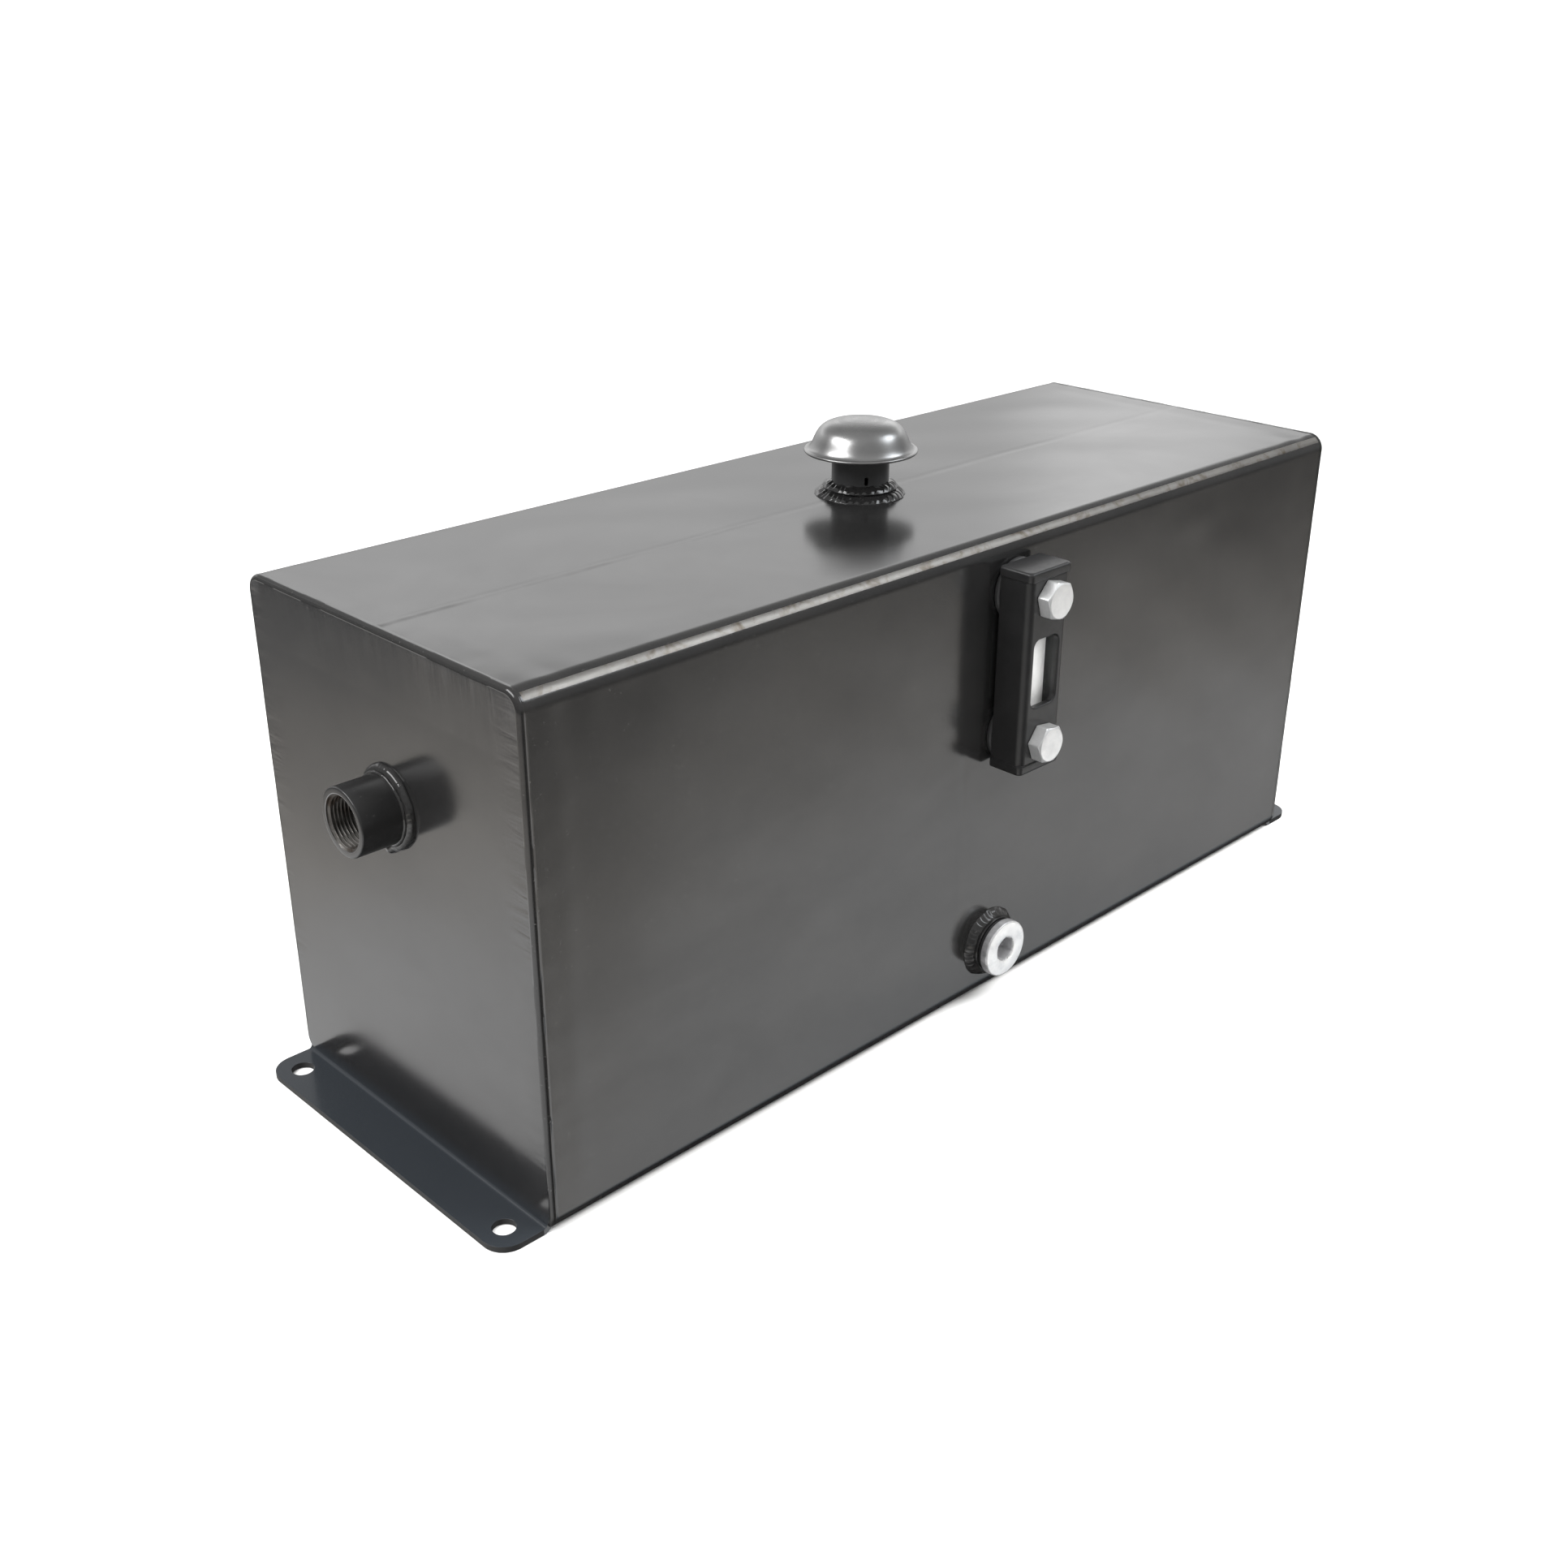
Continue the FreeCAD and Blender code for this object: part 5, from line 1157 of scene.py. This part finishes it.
def build_bolt(tag):
    """M12 hexagon bolt; its head stops at whatever angle it was tightened to."""
    turn = math.radians({"upper": 17.0, "lower": 22.0}[tag])
    theta = hex_angles(turn, 14)
    head, flats = 7.5, 18.0
    hexr = hex_radius(theta, flats, turn)
    rc = flats / 2 * 0.955
    slope = math.tan(math.radians(30))
    edge = head - np.clip(hexr - rc, 0, None) * slope
    rings = [(0, head - 0.05), (3.0, head - 0.03), (rc - 0.5, head), (rc, head - 0.03)]
    rings += [(rc + (hexr - rc) * 0.5, head - (hexr - rc) * 0.5 * slope - 0.02),
              (hexr - 0.12, edge + 0.02), (hexr, edge - 0.14), (hexr, head * 0.5), (hexr, 0.35), (hexr - 0.2, 0.12),
              (8.75, 0.1), (8.65, 0.0), (6.3, 0.0), (5.95, -0.4)]
    out = span("gauge_bolt_" + tag)
    length = out[1][1] - out[0][1] - head
    z = -0.4
    while z > -(length - 18.0):
        rings.append((5.95, z))
        z -= 6.0
    base = -(length - 18.0)
    fine = 1.75
    for i in range(int(17.0 / (fine / 8))):
        z = base - i * fine / 8
        phase = (z / fine - theta / TAU) % 1.0
        tri = 1.0 - np.abs(2 * phase - 1)
        rings.append((5.95 - 0.85 * (1 - np.clip(tri * 1.1, 0, 1)) * min(1.0, i / 8), z))
    rings += [(5.0, -length + 0.6), (4.6, -length), (3.0, -length), (3.0, -length + 6.0), (0, -length + 7.0)]
    co, faces, index = polar_mesh(rings, theta)
    place = (GX, -(HY + 22.4), BOLTS[tag])
    make("sight_bolt_" + tag, put(co, place, "front"), faces, [M_ZINC], "tank", ["gauge_bolt_" + tag], sharp=22)


for tag in ("upper", "lower"):
    build_bolt(tag)
    lathe("sight_seal_" + tag, [(6.55, 0.0, 0.3), (15.3, 0.0, 0.9), (16.0, 0.9, 0.6), (16.0, 2.3, 0.6), (15.3, 3.2, 0.9), (6.55, 3.2, 0.3)],
          (GX, -HY, BOLTS[tag]), "front", [M_RUBBER], "tank", ["gauge_seal_" + tag])

lathe("plug_ring", [(13.25, 0.0, 0.2), (14.85, 0.0, 0.5), (14.85, 2.2, 0.5), (13.25, 2.2, 0.2)],
      (DRAIN[0], DRAIN[1] - BOSS, DRAIN[2]), "front", [M_RUBBER], "drain_ring", ["drain_seal"])


def build_plug():
    """Collar plug with a hexagon socket, corners up, and a right-hand thread."""
    turn = 0.0
    theta = hex_angles(turn, 18)
    flats = 12.0
    face, tip = 4.4, -16.0
    hexr = hex_radius(theta, flats, turn, 0.99)
    rings = [(0, face - 10.6), (4.2, face - 9.3), (hexr * 0.985, face - 9.0), (hexr, face - 8.8), (hexr, face - 4.5), (hexr, face - 1.0)]
    rings += [(hexr + 0.12, face - 0.5), (np.maximum(hexr, 6.5) + 0.35, face - 0.16), (7.6, face - 0.02), (8.6, face)]
    for r, z in round_poly([(8.6, face, 0), (15.9, face, 0.95), (15.9, 0.0, 0.45), (12.6, 0.0, 0)], steps=6, closed=False)[1:]:
        rings.append((r, z))
    rings += [(11.3, -0.05), (11.1, -0.3), (11.1, -1.9), (11.3, -2.1)]
    z = -2.2
    while z > tip + 1.1:
        r = thread_shape(theta, z + BOSS + 2.2, 11.92, 13.12, tip + 1.0 + BOSS + 2.2, BOSS + 0.2, fade=(0.8, 0.5))
        rings.append((r, z))
        z -= PITCH / 9
    rings += [(11.6, tip + 0.9), (10.8, tip), (0, tip)]
    # the collar's top face takes the lit zinc; socket, side and thread the darker copy, painted shade
    kinds = [0 if k in (7, 8, 9) or (np.isscalar(a[0]) and 6.0 < a[0] < 15.6 and a[1] > face - 0.75) else 1
             for k, a in enumerate(rings)]
    co, faces, index = polar_mesh(rings, theta, ring_mats=kinds)
    place = (DRAIN[0], DRAIN[1] - BOSS - 2.2, DRAIN[2])
    make("plug", put(co, place, "front"), faces, [M_PLUG, M_PLUG_SIDE_SHADED], "plug", ["drain_plug"], mat_index=index,
         sharp=26)


build_plug()


# ---------------------------------------------------------------- level gauge housing

def build_housing():
    back = -(HY + 3.2)
    lip_y, face_y = -(HY + 23.0), -(HY + 22.4)
    lip_half, body_half = 16.0, 15.2
    lip = 5.0

    def outline(half, front, corner, ease):
        pts = round_poly([(-half, back, 0.5), (half, back, 0.5), (half, front, corner), (-half, front, corner)], steps=9)
        return [(GX + x * 1.0, y) for x, y in pts]

    rows = []

    def add(z, inset, half, front, corner):
        rows.append((z, outline(half - inset, front + inset, max(0.4, corner), 0)))

    r = 1.5
    for k in range(7):
        a = math.pi / 2 * k / 6              # 0: deepest inset at the very end, pi/2: full size
        add(GZ0 + r * (1 - math.cos(a)), r * (1 - math.sin(a)), lip_half, lip_y, 2.6)
    add(GZ0 + lip - 0.55, 0.0, lip_half, lip_y, 2.6)
    add(GZ0 + lip - 0.2, 0.12, lip_half, lip_y, 2.6)
    add(GZ0 + lip, 0.42, lip_half, lip_y, 2.7)
    add(GZ0 + lip + 0.12, 0.70, lip_half, lip_y + 0.02, 3.0)
    add(GZ0 + lip + 0.35, 0.0, body_half, face_y, 4.0)
    steps = 10
    for i in range(1, steps):
        add(GZ0 + lip + 0.35 + (GZ1 - GZ0 - 2 * lip - 0.7) * i / steps, 0.0, body_half, face_y, 4.0)
    mirror = [(GZ0 + GZ1 - z, o) for z, o in reversed(rows[:12])]
    rows.extend(mirror)
    k = len(rows[0][1])
    co, faces = [], []
    for z, o in rows:
        co.extend((x, y, z) for x, y in o)
    for i in range(len(rows) - 1):
        for j in range(k):
            j2 = (j + 1) % k
            faces.append((i * k + j, i * k + j2, (i + 1) * k + j2, (i + 1) * k + j))
    faces.append(list(range(k)))
    faces.append([(len(rows) - 1) * k + j for j in range(k)])
    piece = make("sight_housing", co, faces, [M_GAUGE], None, sharp=40)

    mid = (GZ0 + GZ1) / 2
    # window: its mouth flares at the front, so that its edge is rounded
    win_half, win_z0, win_z1, corner = 9.5, mid - 18.4, mid + 17.6, 4.2
    flare = 0.9
    chains = []
    for depth, grow in [(HY + 30.0, flare), (HY + 22.4, flare)] + \
            [(HY + 22.4 - flare * (1 - math.cos(math.pi / 2 * t / 6)), flare * (1 - math.sin(math.pi / 2 * t / 6))) for t in range(1, 7)] + [(HY + 10.0, 0.0)]:
        ring = round_poly([(-win_half - grow, win_z0 - grow, corner + grow), (win_half + grow, win_z0 - grow, corner + grow),
                           (win_half + grow, win_z1 + grow, corner + grow), (-win_half - grow, win_z1 + grow, corner + grow)], steps=8)
        chains.append([(GX + x, -depth, z) for x, z in ring])
    w = len(chains[0])
    wco = [p for c in chains for p in c]
    wfaces = []
    for i in range(len(chains) - 1):
        for j in range(w):
            j2 = (j + 1) % w
            wfaces.append((i * w + j, i * w + j2, (i + 1) * w + j2, (i + 1) * w + j))
    wfaces += [list(range(w)), [(len(chains) - 1) * w + j for j in range(w)]]
    cutters = [make("cutter", wco, wfaces, [], None, sharp=None)]
    # channel from the back for the sight glass
    box = []
    for y in (back + 5.0, -(HY + 19.2)):
        for x, z in round_poly([(-11.2, GZ0 + 6.5, 1.5), (11.2, GZ0 + 6.5, 1.5), (11.2, GZ1 - 6.5, 1.5), (-11.2, GZ1 - 6.5, 1.5)], steps=4):
            box.append((GX + x, y, z))
    b = len(box) // 2
    bfaces = [(j, (j + 1) % b, b + (j + 1) % b, b + j) for j in range(b)] + [list(range(b)), list(range(b, 2 * b))]
    cutters.append(make("cutter", box, bfaces, [], None, sharp=None))
    for tag in ("upper", "lower"):
        cutters.append(cutter_round(6.2, 30.0, (GX, back + 2, BOLTS[tag]), "front", seg=64))
        cutters.append(cutter_round(8.6, 8.0, (GX, -(HY + 21.0 + 2.0), BOLTS[tag]), "front", seg=72))
    subtract(piece, cutters, sharp=40)
    weigh(piece)
    adopt(piece, "tank", ["gauge_housing"])


build_housing()


# ---------------------------------------------------------------- carried-over CAD nodes

for node, mat in {
    "baffle_plate": M_INSIDE, "baffle_tacks": M_INSIDE, "breather_base": M_BREATHER,
    "gauge_sight_glass": M_CLEAR, "gauge_reflector": M_WHITE,
    "gauge_head_seal_upper": M_RUBBER, "gauge_head_seal_lower": M_RUBBER,
    "gauge_washer_upper": M_ZINC, "gauge_washer_lower": M_ZINC, "gauge_nut_upper": M_ZINC, "gauge_nut_lower": M_ZINC,
    "strainer_hub": M_STRAINER, "strainer_core": M_STRAINER, "strainer_end": M_STRAINER, "strainer_mesh": M_GAUZE,
}.items():
    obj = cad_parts[node]
    for s in obj.material_slots:
        s.material = mat


# ---------------------------------------------------------------- stage, light and camera

def stage_plane(name, size, z, colour, rough):
    mesh = bpy.data.meshes.new(name)
    mesh.from_pydata([(-size, -size, z), (size, -size, z), (size, size, z), (-size, size, z)], [], [(0, 1, 2, 3)])
    obj = bpy.data.objects.new(name, mesh)
    scene.collection.objects.link(obj)
    mat, tree, shader = new_material(name + "_mat")
    shader.inputs["Base Color"].default_value = (*colour, 1)
    shader.inputs["Roughness"].default_value = rough
    shader.inputs["Specular IOR Level"].default_value = 0.0
    mesh.materials.append(mat)
    return obj


floor = stage_plane("floor", 120.0, -0.0004, (0.88, 0.88, 0.875), 0.9)
floor.visible_glossy = False


def area(name, place, target, size, power, colour=(1, 1, 1), glossy=True, diffuse=True, spread=180.0):
    data = bpy.data.lights.new(name, "AREA")
    data.shape = "RECTANGLE"
    data.size, data.size_y = size
    data.energy = power
    data.spread = math.radians(spread)
    data.color = colour
    obj = bpy.data.objects.new(name, data)
    scene.collection.objects.link(obj)
    obj.location = place
    obj.rotation_euler = (Vector(target) - Vector(place)).to_track_quat("-Z", "Y").to_euler()
    obj.visible_camera = False
    obj.visible_glossy = glossy
    obj.visible_diffuse = diffuse
    return obj


def toward(azimuth, elevation, distance, centre=(0.0, 0.0, 0.2)):
    """A place seen from centre; azimuth 0 is along +Y and 90 along +X."""
    a, e = math.radians(azimuth), math.radians(elevation)
    return (centre[0] + distance * math.cos(e) * math.sin(a), centre[1] + distance * math.cos(e) * math.cos(a),
            centre[2] + distance * math.sin(e))


TARGET = (0.0, 0.0, 0.18)
area("softbox_right", toward(146, 42, 1.5), (-0.30, -0.10, 0.26), (1.10, 0.50), 0.68, colour=(0.92, 0.96, 1.0), diffuse=False, spread=50.0)
area("softbox_left", toward(286, 41, 1.5), TARGET, (1.10, 0.50), 10.0, diffuse=False)
area("fill_right", toward(146, 42, 1.5), TARGET, (1.15, 0.62), 29.0, glossy=False)
area("fill_left", toward(286, 41, 1.5), TARGET, (1.15, 0.62), 26.0, glossy=False)

sun = bpy.data.lights.new("overhead", "SUN")
sun.energy = 2.6
sun.angle = math.radians(60)
sun_obj = bpy.data.objects.new("overhead", sun)
scene.collection.objects.link(sun_obj)
sun_obj.rotation_euler = (math.radians(14), math.radians(-8), 0)
sun_obj.visible_glossy = False


def backdrop():
    """A far white wall that only the camera sees, for looks from low down."""
    seg, radius = 64, 110.0
    co, faces = [], []
    heights = [(radius, -0.5), (radius, 30.0), (radius * 0.8, 75.0), (radius * 0.4, 100.0)]
    for r, z in heights:
        for k in range(seg):
            a = TAU * k / seg
            co.append((r * math.cos(a), r * math.sin(a), z))
    co.append((0, 0, 106.0))
    for i in range(len(heights) - 1):
        for k in range(seg):
            k2 = (k + 1) % seg
            faces.append((i * seg + k, (i + 1) * seg + k, (i + 1) * seg + k2, i * seg + k2))
    last = (len(heights) - 1) * seg
    for k in range(seg):
        faces.append((last + k, len(co) - 1, last + (k + 1) % seg))
    mesh = bpy.data.meshes.new("backdrop")
    mesh.from_pydata(co, [], faces)
    obj = bpy.data.objects.new("backdrop", mesh)
    scene.collection.objects.link(obj)
    mat = bpy.data.materials.new("backdrop_mat")
    mat.use_nodes = True
    mat.node_tree.nodes.clear()
    glow = mat.node_tree.nodes.new("ShaderNodeEmission")
    end = mat.node_tree.nodes.new("ShaderNodeOutputMaterial")
    glow.inputs["Strength"].default_value = 0.96
    mat.node_tree.links.new(glow.outputs[0], end.inputs["Surface"])
    mesh.materials.append(mat)
    obj.visible_diffuse = obj.visible_glossy = obj.visible_transmission = False
    obj.visible_volume_scatter = obj.visible_shadow = False


backdrop()

# the studio round the tank, by direction: a pale sweep behind it, a dim room in
# front, and the lit table as its walls mirror it
FULL = 2.5
world = bpy.data.worlds.new("studio")
scene.world = world
world.use_nodes = True
wt = world.node_tree
wt.nodes.clear()
w_out = wt.nodes.new("ShaderNodeOutputWorld")
w_bg = wt.nodes.new("ShaderNodeBackground")
w_coord = wt.nodes.new("ShaderNodeTexCoord")
w_dir = w_coord.outputs["Generated"]
w_part = wt.nodes.new("ShaderNodeSeparateXYZ")
wt.links.new(w_dir, w_part.inputs[0])


def unit(azimuth, elevation):
    a, e = math.radians(azimuth), math.radians(elevation)
    return (math.cos(e) * math.sin(a), math.cos(e) * math.cos(a), math.sin(e))


def along_direction(vector):
    node = wt.nodes.new("ShaderNodeVectorMath")
    node.operation = "DOT_PRODUCT"
    wt.links.new(w_dir, node.inputs[0])
    node.inputs[1].default_value = vector
    return node.outputs["Value"]


def graded(value, low, high, stops):
    """Radiance along a value: stops are (value, radiance, tint)."""
    node = wt.nodes.new("ShaderNodeValToRGB")
    wt.links.new(remap(wt, value, low, high, 0.0, 1.0), node.inputs[0])
    band = node.color_ramp
    band.interpolation = "LINEAR"
    while len(band.elements) < len(stops):
        band.elements.new(0.5)
    for element, (at, radiance, tint) in zip(band.elements, stops):
        element.position = (at - low) / (high - low)
        element.color = tuple(radiance / FULL * c for c in tint) + (1.0,)
    return node.outputs[0]


def by_elevation(stops):
    return graded(w_part.outputs[2], -1.0, 1.0, [(math.sin(math.radians(e)), v, c) for e, v, c in stops])


WARM, PLAIN, COOL = (1.05, 1.0, 0.93), (1.0, 1.0, 1.0), (0.88, 1.0, 1.10)
table_right = graded(along_direction(unit(115.7, -44.1)), 0.78, 1.0, [
    (0.78, 0.12, WARM), (0.845, 0.17, WARM), (0.865, 0.30, WARM), (0.885, 0.50, WARM), (0.905, 0.88, WARM),
    (0.922, 1.24, PLAIN), (0.940, 1.10, PLAIN), (0.955, 0.98, PLAIN), (0.972, 0.62, COOL), (0.988, 0.20, COOL), (1.0, 0.12, COOL)])
shade_right = graded(along_direction(unit(145, -30)), 0.86, 1.0, [
    (0.86, 0.66 * FULL, PLAIN), (0.892, 0.74 * FULL, PLAIN), (0.915, 0.95 * FULL, PLAIN), (0.950, 1.08 * FULL, PLAIN),
    (0.985, 1.32 * FULL, PLAIN), (1.0, 1.36 * FULL, PLAIN)])
window_right = remap(wt, along_direction(unit(135, -10)), 0.72, 0.84, 0.08, 1.0)
table_left = by_elevation([
    (-90, 0.15, PLAIN), (-60, 0.35, PLAIN), (-42, 1.05, PLAIN), (-34, 1.36, PLAIN), (-31, 1.42, PLAIN), (-29, 1.32, PLAIN),
    (-27, 1.12, WARM), (-25, 0.92, WARM), (-23, 0.74, WARM), (-21.5, 0.62, WARM), (-20, 0.47, PLAIN), (-18.5, 0.30, PLAIN),
    (-16, 0.18, PLAIN), (-8, 0.18, PLAIN)])
shade_left = remap(wt, along_direction(unit(-36, -30)), 0.985, 1.0, 0.90, 1.10)
sweep = by_elevation([
    (-8, 0.50, PLAIN), (0, 0.75, PLAIN), (6, 0.85, PLAIN), (12, 0.92, PLAIN), (15, 1.12, PLAIN), (18, 1.56, PLAIN), (20.5, 1.92, PLAIN),
    (23, 1.36, PLAIN), (26, 0.60, PLAIN), (32, 0.44, PLAIN), (45, 0.36, PLAIN), (62, 0.36, PLAIN), (90, 0.42, PLAIN)])
room = by_elevation([
    (-8, 0.22, PLAIN), (0, 0.28, PLAIN), (20, 0.33, PLAIN), (35, 0.42, PLAIN), (50, 0.50, PLAIN), (65, 0.48, PLAIN), (90, 0.42, PLAIN)])

to_right = remap(wt, along_direction(unit(125, 0)), -0.25, 0.25, 0.0, 1.0)
to_back = remap(wt, along_direction(unit(40, 25)), 0.45, 0.80, 0.0, 1.0)
up = remap(wt, w_part.outputs[2], -0.20, -0.05, 0.0, 1.0)
patch = remap(wt, along_direction(unit(56, 14.6)), 0.9960, 0.9998, 1.0, 1.85)


def scaled(colour, amount):
    node = wt.nodes.new("ShaderNodeVectorMath")
    node.operation = "SCALE"
    wt.links.new(colour, node.inputs[0])
    wt.links.new(amount, node.inputs["Scale"])
    return node.outputs[0]


lower = blend_colour(wt, to_right, scaled(table_left, shade_left), scaled(scaled(table_right, shade_right), window_right))
upper = blend_colour(wt, to_back, room, scaled(sweep, patch))
wt.links.new(blend_colour(wt, up, lower, upper), w_bg.inputs["Color"])
w_bg.inputs["Strength"].default_value = FULL
wt.links.new(w_bg.outputs[0], w_out.inputs["Surface"])

scene.view_settings.view_transform = "Standard"
scene.view_settings.look = "None"

camera = bpy.data.cameras.new("camera")
camera.sensor_fit = "HORIZONTAL"
camera.sensor_width = 36.0
camera.lens = 2172.82 / 1932 * 36.0
camera.clip_start = 0.02
camera.clip_end = 400.0
cam = bpy.data.objects.new("camera", camera)
scene.collection.objects.link(cam)
el, az, roll = math.radians(25.01537), math.radians(44.27497), math.radians(-0.15073)
forward = Vector((math.sin(az) * math.cos(el), math.cos(az) * math.cos(el), -math.sin(el)))
right = Vector((math.cos(az), -math.sin(az), 0))
down = forward.cross(right)
turned_right = math.cos(roll) * right + math.sin(roll) * down
turned_down = -math.sin(roll) * right + math.cos(roll) * down
place = Vector((-0.65790, -0.62209, 0.51379))
cam.matrix_world = Matrix(((turned_right.x, -turned_down.x, -forward.x, place.x),
                           (turned_right.y, -turned_down.y, -forward.y, place.y),
                           (turned_right.z, -turned_down.z, -forward.z, place.z),
                           (0, 0, 0, 1)))
scene.camera = cam

bpy.context.view_layer.update()
